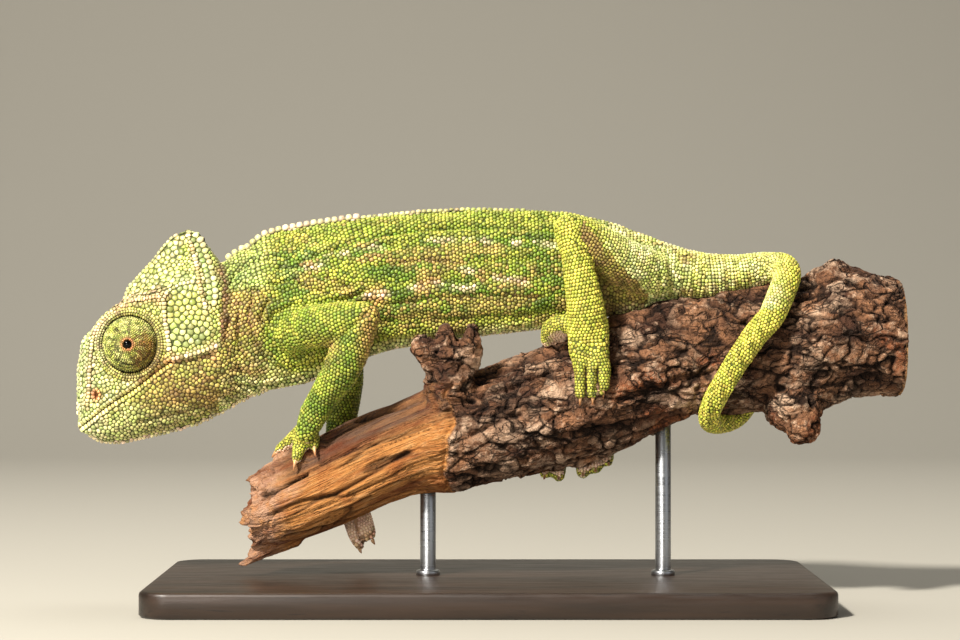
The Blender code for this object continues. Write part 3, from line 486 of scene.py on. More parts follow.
# Where the toes of the left hind foot part, and those of the right forefoot
toeSplits = (((19.0, 46.6), (19.2, 39.0)), ((21.3, 46.4), (21.5, 39.0)))
hangingSplit = ((-27.8, 17.6), (-26.0, 12.8), (-25.0, 10.2))
armCrease = ((-32.5, 49.5), (-29.7, 52.2), (-26.3, 54.9), (-23.4, 57.4))  # where the upper arm folds in
temple = (  # the field of large plates behind the eye
    (-62.9, 50.2), (-59.0, 50.6), (-55.4, 52.4), (-54.6, 56.8), (-57.0, 61.4), (-61.0, 61.6), (-63.6, 59.6),
)


def followProfile(points):  # brings back the outline of the crown and snout, which smoothing thins
    s, h = (points - mouthCorner) @ ahead, (points - mouthCorner) @ headUp
    near = (np.abs(points[:, 1]) < 0.7) & (points[:, 0] < -50) & (h > 8)
    places = np.arange(-14.5, 15.5, 0.5)
    highest = np.array([h[near & (np.abs(s - place) < 0.4)].max(initial=8.0) for place in places])
    lack = np.clip(np.interp(places, crownLine[:, 0], crownLine[:, 1]) - 0.5 - highest, -0.5, 2.6)
    top = np.interp(s, places, highest)
    weight = bump(points[:, 1], 1.9) * step(h, top - 5, top - 0.5) * between(s, -15.2, -14.0, 13, 16)
    points = points + headUp * (np.interp(s, places, lack) * weight * (points[:, 0] < -50))[:, None]
    heights = np.arange(33.0, 54.5, 0.5)
    front = np.array([points[np.abs(points[:, 2] - height) < 0.4, 0].min() for height in heights])
    target = np.maximum(np.interp(heights, snoutLine[:, 0], snoutLine[:, 1]) + 0.4, cadBox[0][0] / mm + 0.35)
    shift = np.interp(points[:, 2], heights, np.clip(target - front, -1.5, 0.5))
    weight = 1 - step(points[:, 0] - np.interp(points[:, 2], heights, front), 0.6, 6.0)
    weight *= step(eyeDistance(points), 6.6, 9.0)
    weight *= between(points[:, 2], 32.5, 34.5, 52, 55) * (points[:, 0] < -60)
    points[:, 0] += shift * weight
    return points


def headFace(points):  # the rear border of the head, in front of the neck
    x, _, z = points.T
    return x < -52.9 - 0.33 * np.maximum(z - 61.0, 0) - 0.1 * np.maximum(46 - z, 0)


def eyeDistance(points):  # from the middle of the eye, as seen from the side
    return np.linalg.norm(points[:, [0, 2]] - eyeCentre[[0, 2]], axis=1)


def nostrilDistance(side):  # 1 at about the nostril's rim
    return np.linalg.norm((side - nostril) * nostrilShape, axis=1)


def splitDistance(points):  # from the splits between toes
    side, y = points[:, [0, 2]], points[:, 1]
    hindFoot = np.minimum.reduce([lineDistance(side, line) for line in toeSplits])
    hanging = (points[:, 2] < 19) & (y > 5) & (y < 11.5)
    return np.where(y < -9, hindFoot, np.where(hanging, lineDistance(side, hangingSplit), 9.0))


def makeSkinRelief(points, normals, onHead, limbShare):
    side = points[:, [0, 2]]
    flank = step(np.abs(normals[:, 1]), 0.25, 0.6)
    d = {key: lineDistance(side, line) for key, line in sideLines.items()}
    rise = np.zeros(len(points))
    head = onHead * flank
    for key, (high, wide) in headRidges.items():
        rise += head * high * bump(d[key], wide)
    rise += head * 0.3 * bump(d["brow"], 1.3) * np.cos(2 * math.pi * d["brow"] / 0.95)
    rise -= head * 0.8 * bump(d["mouth"], 0.32)
    rise += head * 0.22 * bump(d["mouth"] - 1.0, 0.6)
    rise -= head * 0.35 * bump(d["rictus"], 0.4)
    rise -= step(-points[:, 0], 48, 50) * flank * 0.35 * bump(d["jawFold"], 0.45)
    pit = nostrilDistance(side)
    rise += head * (0.3 * bump(pit - 1.0, 0.3) - 0.8 * bump(pit, 0.62))
    fromEye = eyeDistance(points)
    rise += head * (0.35 * bump(fromEye - 6.4, 0.55) - 0.25 * bump(fromEye - 7.2, 0.3))
    body = (1 - onHead) * (1 - limbShare)
    rise -= body * 0.42 * bump(d["backGroove"], 0.5) * flank
    rise -= body * 0.2 * bump(d["backGrooveLow"], 0.5) * flank
    rise += body * 0.22 * bump(d["backGroove"] - 1.1, 0.6) * flank
    # loose skin: folds across the root of the tail, round the shoulder and along the flank
    x, z = points[:, 0], points[:, 2]
    wave = cloud(points, 6.0, 11)
    across = np.sin(2 * math.pi * (x + 1.1 * wave + 0.12 * (z - 66)) / 2.3)
    rise += (1 - onHead) * (0.26 * across + 0.12 * across**2) * between(x, 29, 36, 50, 56) * flank
    loose = (1 - onHead) * (1 - 0.75 * limbShare) * flank
    wander = np.column_stack((cloud(points, 3.0, 13, 3), cloud(points, 3.0, 17, 3))) * 1.1
    for line, deep, wide in folds:
        away = lineDistance(side + wander, line)
        rise += loose * deep * (0.6 * bump(away - 1.9 * wide, wide) - 1.3 * bump(away, wide * 0.8))
    rise -= 0.55 * bump(lineDistance(side, armCrease), 0.4) * step(-points[:, 1], 6, 8)
    rise -= 1.1 * bump(splitDistance(points), 0.42)
    slant = (x + 44) * 0.75 + (z - 56) * 0.5
    shoulder = bump(np.hypot(x + 43, (z - 57) * 0.8), 9.0)
    rise += body * 0.2 * np.sin(2 * math.pi * (slant + 1.8 * wave) / 2.3) * shoulder
    along = np.sin(2 * math.pi * (z - 0.06 * x + 1.5 * wave) / 3.6)
    rise += body * 0.2 * along * between(x, -34, -26, 10, 18) * flank
    rise += body * 0.22 * cloud(points, 4.0, 5)
    throat = between(-x, 42, 46, 60, 66) * (1 - step(z, 44, 50))
    rise += 0.16 * throat * np.sin(2 * math.pi * (x * 0.35 + z + 0.9 * wave) / 2.1)
    # creases inside the elbow and across the shin
    elbow = np.linalg.norm(points - np.array((-29.5, -12.0, 49.5)), axis=1)
    rise += 0.16 * np.sin(2 * math.pi * (x * 0.8 + z * 0.6 + 0.8 * wave) / 1.7) * bump(elbow, 5.5)
    shin = np.linalg.norm((points - np.array((18.6, -12.6, 60.0))) * (1, 1, 0.6), axis=1)
    rise += 0.15 * np.sin(2 * math.pi * (z + 0.2 * x + 0.5 * wave) / 1.55) * bump(shin, 4.6)
    return rise


# Flesh added at the wrists and ankles, the neck, the hips and the root of the tail: x, y, z, radius
fillings = (
    ((18.2, -11.9, 55.0, 3.0), (18.0, -12.4, 50.5, 2.6), (18.3, -13.0, 46.4, 1.9)),
    ((20.9, -11.9, 55.0, 3.0), (21.4, -12.4, 50.5, 2.6), (21.9, -12.9, 46.4, 1.9)),
    ((18.2, 16.0, 43.0, 3.2), (18.6, 15.4, 39.6, 2.9), (18.8, 13.6, 35.6, 2.0)),
    ((-33.8, -7.2, 38.4, 2.9), (-35.0, -7.2, 36.0, 2.9), (-36.0, -7.2, 33.6, 2.3)),
    ((-30.5, 13.4, 30.0, 2.9), (-30.2, 12.8, 26.4, 2.9), (-29.2, 11.8, 21.4, 2.4)),
    ((-29.0, 11.4, 20.0, 2.0), (-27.2, 9.6, 13.2, 1.85), (-25.9, 9.3, 10.3, 1.6)),
    ((-26.9, 12.0, 20.0, 2.0), (-24.8, 10.6, 14.6, 1.85), (-23.9, 10.2, 12.2, 1.55)),
    ((23.5, 0.0, 59.8, 3.2), (27.5, -0.6, 59.0, 3.1), (31.5, 0.0, 61.2, 2.7)),
    ((-55.0, 0.0, 62.4, 3.0), (-51.6, 0.0, 64.9, 3.3), (-48.0, 0.0, 67.6, 3.1)),
    ((36.0, 0.0, 63.0, 3.3), (42.0, 0.0, 63.4, 3.3), (48.0, 0.0, 64.6, 3.3), (53.0, -0.4, 65.6, 3.1)),
)
skinValues = {"voxel": 0.43, "swell": 0.22, "coat": 0.26, "toeCoat": 0.14, "smoothing": 9}
axes = makeAxes()
fleshNodes = [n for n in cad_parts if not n.startswith(("stand_", "eye", "perch"))]
skin = remeshed("skin", fleshNodes, skinValues["voxel"], skinValues["swell"], fillings)
rawPoints, skinTriangles, skinEdges = readMesh(skin.data)
skinPoints = smoothed(rawPoints, skinEdges, skinValues["smoothing"])
print("skin grid", len(skinPoints), len(skinTriangles))


def nearestAxis(points):  # the axis each point lies nearest to, how far out in its radii, and its place
    best, place = np.full(len(points), 1e9), np.zeros(len(points))
    owner = np.zeros(len(points), int)
    for index, axis in enumerate(axes):
        path = axis["path"]
        for i in range(0, len(path), 2):
            ratio = np.linalg.norm(points - path[i, :3], axis=1) / path[i, 3]
            closer = ratio < best
            best[closer], owner[closer], place[closer] = ratio[closer], index, i / (len(path) - 1)
    return owner, best, place


trimmed = {"hindOuterLeft": 1.1, "foreOuterRight": -2.0}  # how far the skin ends before the toes do
tipShare = 0.92  # the radius of a toe's round tip, as a share of the toe's


def roundToeTips(points):
    tipExcess, tipPlace = np.full(len(points), 1e9), points.copy()
    for name, palm, radius, toes in bundles:
        for toe in toes:
            chain = np.array((palm, *toe))
            way = unit(chain[-1] - chain[-2])
            middle = chain[-1] - way * trimmed.get(name, 0.0)
            offset = points - middle
            forward = offset @ way
            reach = np.linalg.norm(offset, axis=1)
            aside = np.sqrt(np.maximum(reach**2 - forward**2, 0))
            excess = reach - radius * tipShare
            mine = (forward > 0) & (forward < 5.0) & (aside < radius * 1.3 + 0.4) & (excess < tipExcess)
            tipExcess[mine] = excess[mine]
            shrink = radius * tipShare / np.maximum(reach[mine], 1e-6)
            tipPlace[mine] = middle + offset[mine] * shrink[:, None]
    return np.where(((tipExcess > 0) & (tipExcess < 1e8))[:, None], tipPlace, points)


def blurred(values, rounds):  # one value for each vertex of the skin, evened out over its neighbours
    for _ in range(rounds):
        values = averaged(values[:, None], skinEdges)[:, 0]
    return values


skinNormals = vertexNormals(skinPoints, skinTriangles)
skinOwner, skinRatio, _ = nearestAxis(skinPoints)
isToe = np.array([axis["toe"] for axis in axes])
tailIndex = [axis["name"] for axis in axes].index("tail")
skinLimb = 1 - step(skinRatio, 1.15, 1.5)
toeShare = np.where(isToe[skinOwner], skinLimb, 0.0)
depth = skinValues["swell"] + skinValues["coat"] + (skinValues["toeCoat"] - skinValues["coat"]) * toeShare
lost = ((rawPoints - skinPoints) * skinNormals).sum(axis=1)  # what the smoothing took off thin edges
depth = depth - np.clip(blurred(lost, 6) * 1.1, -0.4, 1.2)
onHead = blurred(headFace(skinPoints).astype(float), 2)
skinPoints = skinPoints - skinNormals * depth[:, None]
skinPoints = followProfile(roundToeTips(skinPoints))
relief = makeSkinRelief(skinPoints, skinNormals, onHead, skinLimb)
creaseShade = np.clip((blurred(relief, 14) - relief) / 0.3 - 0.15, 0, 1)  # how deep in a crease, for the painted shade in the creases
skinPoints = skinPoints + skinNormals * relief[:, None]
skinNormals = vertexNormals(skinPoints, skinTriangles)
skinTree = BVHTree.FromPolygons(skinPoints.tolist(), skinTriangles.tolist())
print("skin shaped")


def surfaceAt(points):  # the nearest points of the skin, and its normals there
    found, normals = np.zeros((len(points), 3)), np.zeros((len(points), 3))
    for i, p in enumerate(points):
        place, _, index, _ = skinTree.find_nearest(Vector(p))
        found[i] = place
        normals[i] = skinNormals[skinTriangles[index]].mean(axis=0)
    return found, unit(normals)


def castOnSkin(origins, directions):
    hits = []
    for origin, direction in zip(origins, directions):
        place, _, _, _ = skinTree.ray_cast(Vector(origin), Vector(direction))
        hits.append(tuple(place) if place is not None else (np.nan,) * 3)
    return np.array(hits)


def castFromSide(places, side):  # where places, as seen from one side, meet the skin
    origins = np.column_stack((places[:, 0], np.full(len(places), 40.0 * side), places[:, -1]))
    return castOnSkin(origins, [(0.0, -side, 0.0)] * len(places))


def ringRows(path, reachAt, pitch, rays=56, along=0.9):
    # rows of places round a middle line, each row half a scale on from the one before
    middle = evenly(path[:, :3], pitch * along)
    if len(middle) < 2:
        return np.zeros((0, 3))
    ways = unit(np.gradient(middle, axis=0))
    across = np.cross(ways[0], (0.31, 0.94, 0.12))
    turns = ringTurns(rays)
    rows = []
    for number, (point, way) in enumerate(zip(middle, ways)):
        across = unit(across - way * (across @ way))
        other = np.cross(way, across)
        spokes = np.cos(turns)[:, None] * across + np.sin(turns)[:, None] * other
        reach = reachAt(point, spokes)
        hits = castOnSkin([point] * rays, spokes)
        hits[np.linalg.norm(hits - point, axis=1) > reach] = np.nan
        ring = np.vstack((hits, hits[:1]))
        steps = np.linalg.norm(np.diff(ring, axis=0), axis=1)
        known = ~np.isnan(steps)
        walked = np.concatenate(([0], np.cumsum(np.where(known, steps, 0.0))))
        if walked[-1] < pitch * 3:
            continue
        count = round(walked[-1] / pitch) if known.all() else int(walked[-1] / pitch)
        places = (np.arange(count) + 0.5 * (number % 2)) * (walked[-1] / count)
        slot = np.clip(np.searchsorted(walked, places, side="right") - 1, 0, rays - 1)
        share = (places - walked[slot]) / np.maximum(walked[slot + 1] - walked[slot], 1e-9)
        found = ring[slot] + (ring[slot + 1] - ring[slot]) * share[:, None]
        rows.append(found[known[slot] & ~np.isnan(found[:, 0])])
    return np.vstack(rows) if rows else np.zeros((0, 3))


# Where each scale sits. Each site has a place, a size, a height and whether it may still shift

siteGroups = []


def addSites(points, size, height=0.3, fixed=True):
    points = points[~np.isnan(points[:, 0])]
    count = len(points)
    siteGroups.append((points, np.full(count, size), np.full(count, height), np.full(count, fixed)))


def sideRow(key, size, height, offset=(0.0, 0.0)):  # a row of larger scales along a line, on both sides
    line = evenly(np.array(sideLines[key]) + offset, 0.15)
    for side in (-1, 1):
        hits = castFromSide(line, side)
        hits = hits[~np.isnan(hits[:, 0])]
        addSites(evenly(hits, size * 0.98), size, height)


def middleRow(points, direction, size, height):
    hits = castOnSkin(points, [direction] * len(points))
    hits = hits[~np.isnan(hits[:, 0])]
    addSites(evenly(hits, size), size * 1.12, height)


for first, last, fromZ, way, size, height in (  # three lengths of the crest, then the throat and the belly
    (-51.5, -26.0, 100, -1, 1.42, 0.74), (-25.9, 8.0, 100, -1, 1.1, 0.54), (8.1, 40.0, 100, -1, 0.84, 0.4),
    (-79.4, -44.0, 0, 1, 0.84, 0.58), (-44.0, 16.0, 30, 1, 0.7, 0.34),
):
    alongX = np.arange(first, last, 0.2)
    middleRow(np.column_stack((alongX, 0 * alongX, 0 * alongX + fromZ)), (0, 0, way), size, height)
crown = np.array([mouthCorner + ahead * s + headUp * 40 for s in np.arange(-11.5, 25.0, 0.2)])
middleRow(crown, tuple(-headUp), 0.95, 0.5)
for row in (
    ("innerCrest", 0.8, 0.34), ("orbitTop", 0.66, 0.36), ("lateralCrest", 0.8, 0.34),
    ("canthus", 0.76, 0.38), ("behindEye", 0.84, 0.36), ("cheekBand", 0.9, 0.36),
    ("rearEdge", 1.35, 0.26, (-0.3, 0.0)), ("rearEdge", 1.25, 0.2, (-1.5, 0.0)),
    ("mouth", 0.82, 0.36, (-0.32, 0.55)), ("mouth", 0.82, 0.36, (0.36, -0.5)),
):
    sideRow(*row)
for side in (-1, 1):  # fine rings of the lid, round the turret
    for radius, size in ((6.0, 0.5), (6.5, 0.56), (7.05, 0.62)):
        turns = ringTurns(int(2 * math.pi * radius / size))
        addSites(castFromSide(sideRing(eyeCentre, radius, turns, 0.0), side), size, 0.3)
for side in (-1, 1):  # the rim of each nostril
    turns = ringTurns(9)
    rim = nostril + np.column_stack((0.72 * np.cos(turns), 1.15 * np.sin(turns)))
    addSites(castFromSide(rim, side), 0.58, 0.4)
print("special rows", sum(len(g[0]) for g in siteGroups))


def rowsOnToe(path, size):
    reach = path[:, 3].max() * 1.25
    addSites(ringRows(path[6:], lambda point, spokes: reach, size, 28), size, 0.26, False)


def rowsOnLimb(name, path, size):
    def limbReach(point, spokes):
        nearest = np.linalg.norm(path[:, :3] - point, axis=1).argmin()
        return path[nearest, 3] * 1.18 + 0.2

    if name != "tail":
        addSites(ringRows(path, limbReach, size), size, 0.38, False)
        return
    for number, part in enumerate(np.array_split(np.arange(len(path)), 8)):  # smaller to the tip
        size = 0.72 - 0.02 * number
        rows = path[part[0] : min(part[-1] + 2, len(path))]
        addSites(ringRows(rows, limbReach, size, 40, 0.92), size, 0.36, False)


for axis in axes:
    if axis["toe"]:
        rowsOnToe(axis["path"], axis["size"])
for axis in axes:
    if not axis["toe"]:
        rowsOnLimb(axis["name"], axis["path"], axis["size"])
print("limb rows", sum(len(g[0]) for g in siteGroups))


def trunkReach(point, spokes):
    top, low, wide = trunkAt(point[0])
    high = (top - low) / 2
    return 1.12 / np.sqrt((spokes[:, 1] / wide) ** 2 + (spokes[:, 2] / high) ** 2) + 0.5


trunkX = np.arange(-52.0, 52.0, 0.5)
trunkTop, trunkLow, _ = trunkAt(trunkX)
trunkMiddle = np.column_stack((trunkX, 0 * trunkX, (trunkTop + trunkLow) / 2))
trunkRows = ringRows(trunkMiddle, trunkReach, 0.76, 120)
addSites(trunkRows + random.normal(0, 0.085, trunkRows.shape), 0.76, 0.4, False)
print("trunk rows", sum(len(g[0]) for g in siteGroups))


def sizeAt(points):  # how wide the scales are, over the whole body
    owner, ratio, place = nearestAxis(points)
    limbSize = np.array([axis["size"] for axis in axes])[owner]
    limbSize = np.where(owner == tailIndex, 0.72 - 0.16 * place, limbSize)
    side, x, z = points[:, [0, 2]], points[:, 0], points[:, 2]
    top, low, _ = trunkAt(x)
    size = np.where(x < -42, 0.66, 0.76)
    size = np.where((x > -46) & (z > top - 3.2), 0.88, size)
    size = np.where((x > -40) & (z < low + 3), 0.7, size)
    size = np.where(ratio < 1.25, limbSize, size) * (1 + 0.09 * cloud(points, 2.4, 23, 2))
    head = headFace(points)
    d = {key: lineDistance(side, line) for key, line in sideLines.items()}
    casque = (z > 61.5) & head
    strip = casque & (d["rearEdge"] < 2.2) & (d["innerCrest"] < 2.2) & (x > -59)
    headSize = np.full(len(points), 0.76)
    for field, wide in (
        (casque, 1.14), (strip, 1.25), (inside(side, temple), 1.24), (d["mouth"] < 1.7, 0.84),
        ((z < 40) & (x > -70), 0.72), (np.linalg.norm(side - nostril, axis=1) < 1.4, 0.55),
        (eyeDistance(points) < 7.3, 0.5),
    ):
        headSize = np.where(field, wide, headSize)
    return np.where(head, headSize * (1 + 0.12 * cloud(points, 1.6, 29, 2)), size)


def thinOut(points, needs, kept=0):  # keeps each point that has room beside those kept before it
    cells, cell, chosen = {}, 1.3, []
    keys = np.floor(points / cell).astype(int).tolist()
    points, needs = points.tolist(), needs.tolist()
    around = [(a, b, c) for a in (-1, 0, 1) for b in (-1, 0, 1) for c in (-1, 0, 1)]

    def crowded(i):
        kx, ky, kz = keys[i]
        px, py, pz = points[i]
        for a, b, c in around:
            for qx, qy, qz, other in cells.get((kx + a, ky + b, kz + c), ()):
                room = (needs[i] + other) * 0.5
                if (px - qx) ** 2 + (py - qy) ** 2 + (pz - qz) ** 2 < room * room:
                    return True
        return False

    for i in range(len(points)):
        if i < kept or not crowded(i):
            cells.setdefault(tuple(keys[i]), []).append((*points[i], needs[i]))
            chosen.append(i)
    return np.array(chosen)


def treeOf(points):
    tree = KDTree(len(points))
    for i, p in enumerate(points):
        tree.insert(p, i)
    tree.balance()
    return tree


siteValues = {
    "rowRoom": 0.76, "fillRoom": 0.79,  # how near two places may come, as a share of their size
    "triesPerSquareMm": 9, "rounds": 3, "spacing": 0.46,
}


def placeSites():
    points = np.vstack([g[0] for g in siteGroups])
    sizes, heights, fixed = (np.concatenate([g[k] for g in siteGroups]) for k in (1, 2, 3))
    free = ~fixed
    points[free] += random.normal(0, 0.035, (free.sum(), 3))
    keep = thinOut(points, sizes * siteValues["rowRoom"])
    points, sizes, heights, fixed = points[keep], sizes[keep], heights[keep], fixed[keep]
    print("rows kept", len(points))
    a, b, c = (skinPoints[skinTriangles[:, k]] for k in range(3))
    area = np.linalg.norm(np.cross(b - a, c - a), axis=1) / 2
    print("skin area mm2", area.sum())
    count = int(area.sum() * siteValues["triesPerSquareMm"])
    face = random.choice(len(area), count, p=area / area.sum())
    u, v = random.random(count), random.random(count)
    flip = u + v > 1
    u[flip], v[flip] = 1 - u[flip], 1 - v[flip]
    spots = a[face] + u[:, None] * (b - a)[face] + v[:, None] * (c - a)[face]
    spots = spots[~((eyeDistance(spots) < 5.75) & (spots[:, 0] < -60) & (np.abs(spots[:, 1]) > 0.5))]
    tree = treeOf(points)
    gaps = np.array([tree.find(p)[2] for p in spots])
    spots = spots[gaps > 0.36]
    spotSizes = sizeAt(spots)
    rank = np.argsort(-spotSizes + random.random(len(spots)) * 0.1)
    spots, spotSizes = spots[rank], spotSizes[rank]
    merged = np.vstack((points, spots))
    mergedSizes = np.concatenate((sizes, spotSizes))
    keep = thinOut(merged, mergedSizes * siteValues["fillRoom"], kept=len(points))
    points, sizes = merged[keep], mergedSizes[keep]
    added, addedSizes = points[len(heights):], sizes[len(heights):]
    onFace = np.where(addedSizes > 0.95, 0.18, 0.24)
    heights = np.concatenate((heights, np.where(headFace(added), onFace, 0.34)))
    fixed = np.concatenate((fixed, np.zeros(len(added), bool)))
    print("scales", len(points))
    for _ in range(siteValues["rounds"]):  # the scales push each other into an even spacing
        tree = treeOf(points)
        near = np.array([[n[1] for n in tree.find_n(p, 7)[1:]] for p in points])
        way = points[:, None] - points[near]
        distance = np.maximum(np.linalg.norm(way, axis=2), 1e-6)
        room = siteValues["spacing"] * (sizes[:, None] + sizes[near])
        push = (way / distance[..., None] * np.maximum(room - distance, 0)[..., None]).sum(axis=1) * 0.3
        points = points + np.where(fixed[:, None], 0, push)
        points, normals = surfaceAt(points)
    side = points[:, [0, 2]]
    slit = (lineDistance(side, sideLines["mouth"]) < 0.27) & (np.abs(normals[:, 1]) > 0.3)
    hole = (nostrilDistance(side) < 0.55) & (np.abs(normals[:, 1]) > 0.2)
    socket = (eyeDistance(points) < 5.7) & (np.abs(points[:, 1]) > 0.5)
    bare = (points[:, 0] < -60) & (slit | hole | socket)
    bare |= splitDistance(points) < 0.34
    return points[~bare], normals[~bare], sizes[~bare], heights[~bare]


sitePoints, siteNormals, siteSizes, siteHeights = placeSites()
print("sites ready", len(sitePoints))


# Scales: each one fills its own share of the skin, between its neighbours

domeSides = 7
domeLevels = ((1.0, None), (0.96, 0.44), (0.7, 0.9))  # share of the outline, share of the height
patchRadius = 0.0015  # of a scale's place on the map


def outlinesOf(points, normals, ways, sizes):  # how far each scale reaches towards each of its corners
    tree = treeOf(points)
    near = np.array([[n[1] for n in tree.find_n(p, 13)[1:]] for p in points])
    other = np.cross(normals, ways)
    offset = points[near] - points[:, None]
    distance = np.maximum(np.linalg.norm(offset, axis=2), 1e-6)
    angle = np.arctan2((offset * other[:, None]).sum(axis=2), (offset * ways[:, None]).sum(axis=2))
    facing = (normals[near] * normals[:, None]).sum(axis=2)
    half = (distance**2 + (sizes[:, None] ** 2 - sizes[near] ** 2) / 4) / (2 * distance)
    half = np.where(facing < 0.1, 9.0, half)
    turns = ringTurns(domeSides) + math.pi / domeSides
    reach = np.zeros((len(points), domeSides))
    for k, turn in enumerate(turns):
        lean = np.cos(angle - turn)
        reach[:, k] = np.where(lean > 0.15, half / np.maximum(lean, 0.15), 9.0).min(axis=1)
    widest = np.where(headFace(points) & (np.abs(normals[:, 1]) > 0.55), 0.88, 0.74) * sizes
    reach = np.clip(reach, 0.26 * sizes[:, None], widest[:, None])
    return reach - (0.012 + 0.02 * sizes[:, None]), turns


def growScales(points, normals, ways, sizes, heights, sink=0.14):
    # returns every scale's corners as (scale, corner, xyz), its spread over its patch, and its rise
    ways = unit(ways - normals * (ways * normals).sum(axis=1)[:, None])
    other = np.cross(normals, ways)
    reach, turns = outlinesOf(points, normals, ways, sizes)
    tall = (heights * sizes)[:, None]
    corners, spread, rise = [], [], []
    for share, level in domeLevels:
        lift = -sink if level is None else tall * level
        flatX, flatY = reach * share * np.cos(turns), reach * share * np.sin(turns)
        ring = points[:, None] + flatX[..., None] * ways[:, None] + flatY[..., None] * other[:, None]
        corners.append(ring + (normals[:, None] * (lift if level is None else lift[..., None])))
        spread.append(np.stack((share * np.cos(turns), share * np.sin(turns)), axis=1))
        rise.append(np.repeat(np.clip(tall * (level or 0) / 0.22, 0, 1), domeSides, axis=1))
    lean = random.normal(0, 0.05, (len(points), 2)) * sizes[:, None]
    top = points + normals * tall + ways * lean[:, :1] + other * lean[:, 1:]
    corners.append(top[:, None])
    spread.append(np.zeros((1, 2)))
    rise.append(np.ones((len(points), 1)))
    return np.concatenate(corners, axis=1), np.concatenate(spread), np.concatenate(rise, axis=1)


def scaleFaces():  # the faces of one scale, as corner numbers
    faces = [list(range(domeSides))[::-1]]
    levels = len(domeLevels)
    for level in range(levels - 1):
        for k in range(domeSides):
            a, b = level * domeSides + k, level * domeSides + (k + 1) % domeSides
            faces.append([a, b, b + domeSides, a + domeSides])
    last = (levels - 1) * domeSides
    faces += [[last + k, last + (k + 1) % domeSides, levels * domeSides] for k in range(domeSides)]
    return np.array([corner for face in faces for corner in face]), np.array([len(face) for face in faces])


def scalePiece(name, corners, spread, rise, roots, rootUv, perScale):
    count, each = corners.shape[:2]
    oneLoops, oneSizes = scaleFaces()
    loops = (oneLoops[None] + (np.arange(count) * each)[:, None]).ravel()
    attributes = {
        "root": np.repeat(roots * mm, each, axis=0),
        "rise": rise.ravel(),
        "tint": np.repeat(random.random(count), each),
    }
    for key, values in perScale.items():
        attributes[key] = np.repeat(values, each, axis=0)
    uv = (rootUv[:, None] + spread[oneLoops][None] * patchRadius).reshape(-1, 2)
    return makeObject(name, corners.reshape(-1, 3), loops, np.tile(oneSizes, count), attributes, uv)


# Markings, as shares of each colour at any place on the skin

streaks = (  # broken pale streaks along the flank, as lines seen from the side
    ((-12.4, 71.3), (-9.6, 71.8), (-6.4, 71.7)), ((-4.6, 71.8), (-1.6, 71.9), (0.6, 71.6)),
    ((5.3, 71.2), (8.4, 71.6), (10.6, 71.3), (13.4, 70.9)), ((-26.0, 69.5), (-22.4, 70.4), (-20.4, 70.2)),
    ((-33.4, 68.0), (-30.0, 69.0), (-27.6, 69.4)), ((2.9, 64.2), (5.9, 63.9), (7.7, 63.4)),
    ((-15.2, 62.6), (-12.5, 62.8), (-10.3, 63.2), (-8.7, 63.3)), ((-6.9, 62.4), (-4.6, 62.1), (-2.6, 62.7)),
    ((-5.2, 65.9), (-2.6, 65.3), (0.4, 64.7), (2.3, 64.1)), ((-24.2, 60.6), (-21.4, 61.2), (-19.6, 61.0)),
    ((-36.0, 66.2), (-33.0, 67.0)), ((38.0, 66.4), (40.6, 65.2)), ((42.0, 68.2), (45.4, 67.4)),
    ((30.0, 71.2), (34.0, 70.0)),
)
# Painted shadow under the overhanging rear edge of the casque, as a line seen from the side
casqueShadowLine = ((-53.6, 66.6), (-52.2, 63.6), (-51.8, 60.0), (-52.0, 56.0), (-53.0, 52.4))
# The shaded inner side of the left thigh, seen from the side: its tan and brown are painted shade
shadedThighField = ((18.4, 75.4), (24.0, 68.8), (31.8, 60.8), (31.0, 56.0), (17.0, 56.0), (17.6, 66.0))
paleRidges = {
    "canthus": 0.95, "behindEye": 0.8, "cheekBand": 1.0, "innerCrest": 0.85, "orbitTop": 0.6,
    "rearEdge": 0.35, "lateralCrest": 0.5,
}
markFields = {  # the marks that a mesh carries, three to a field
    "marksOne": ("Deep", "Blue", "Yellow"),
    "marksTwo": ("Tan", "Cream", "Orange"),
    "marksThree": ("Brown", "Pale", "Sole"),
}


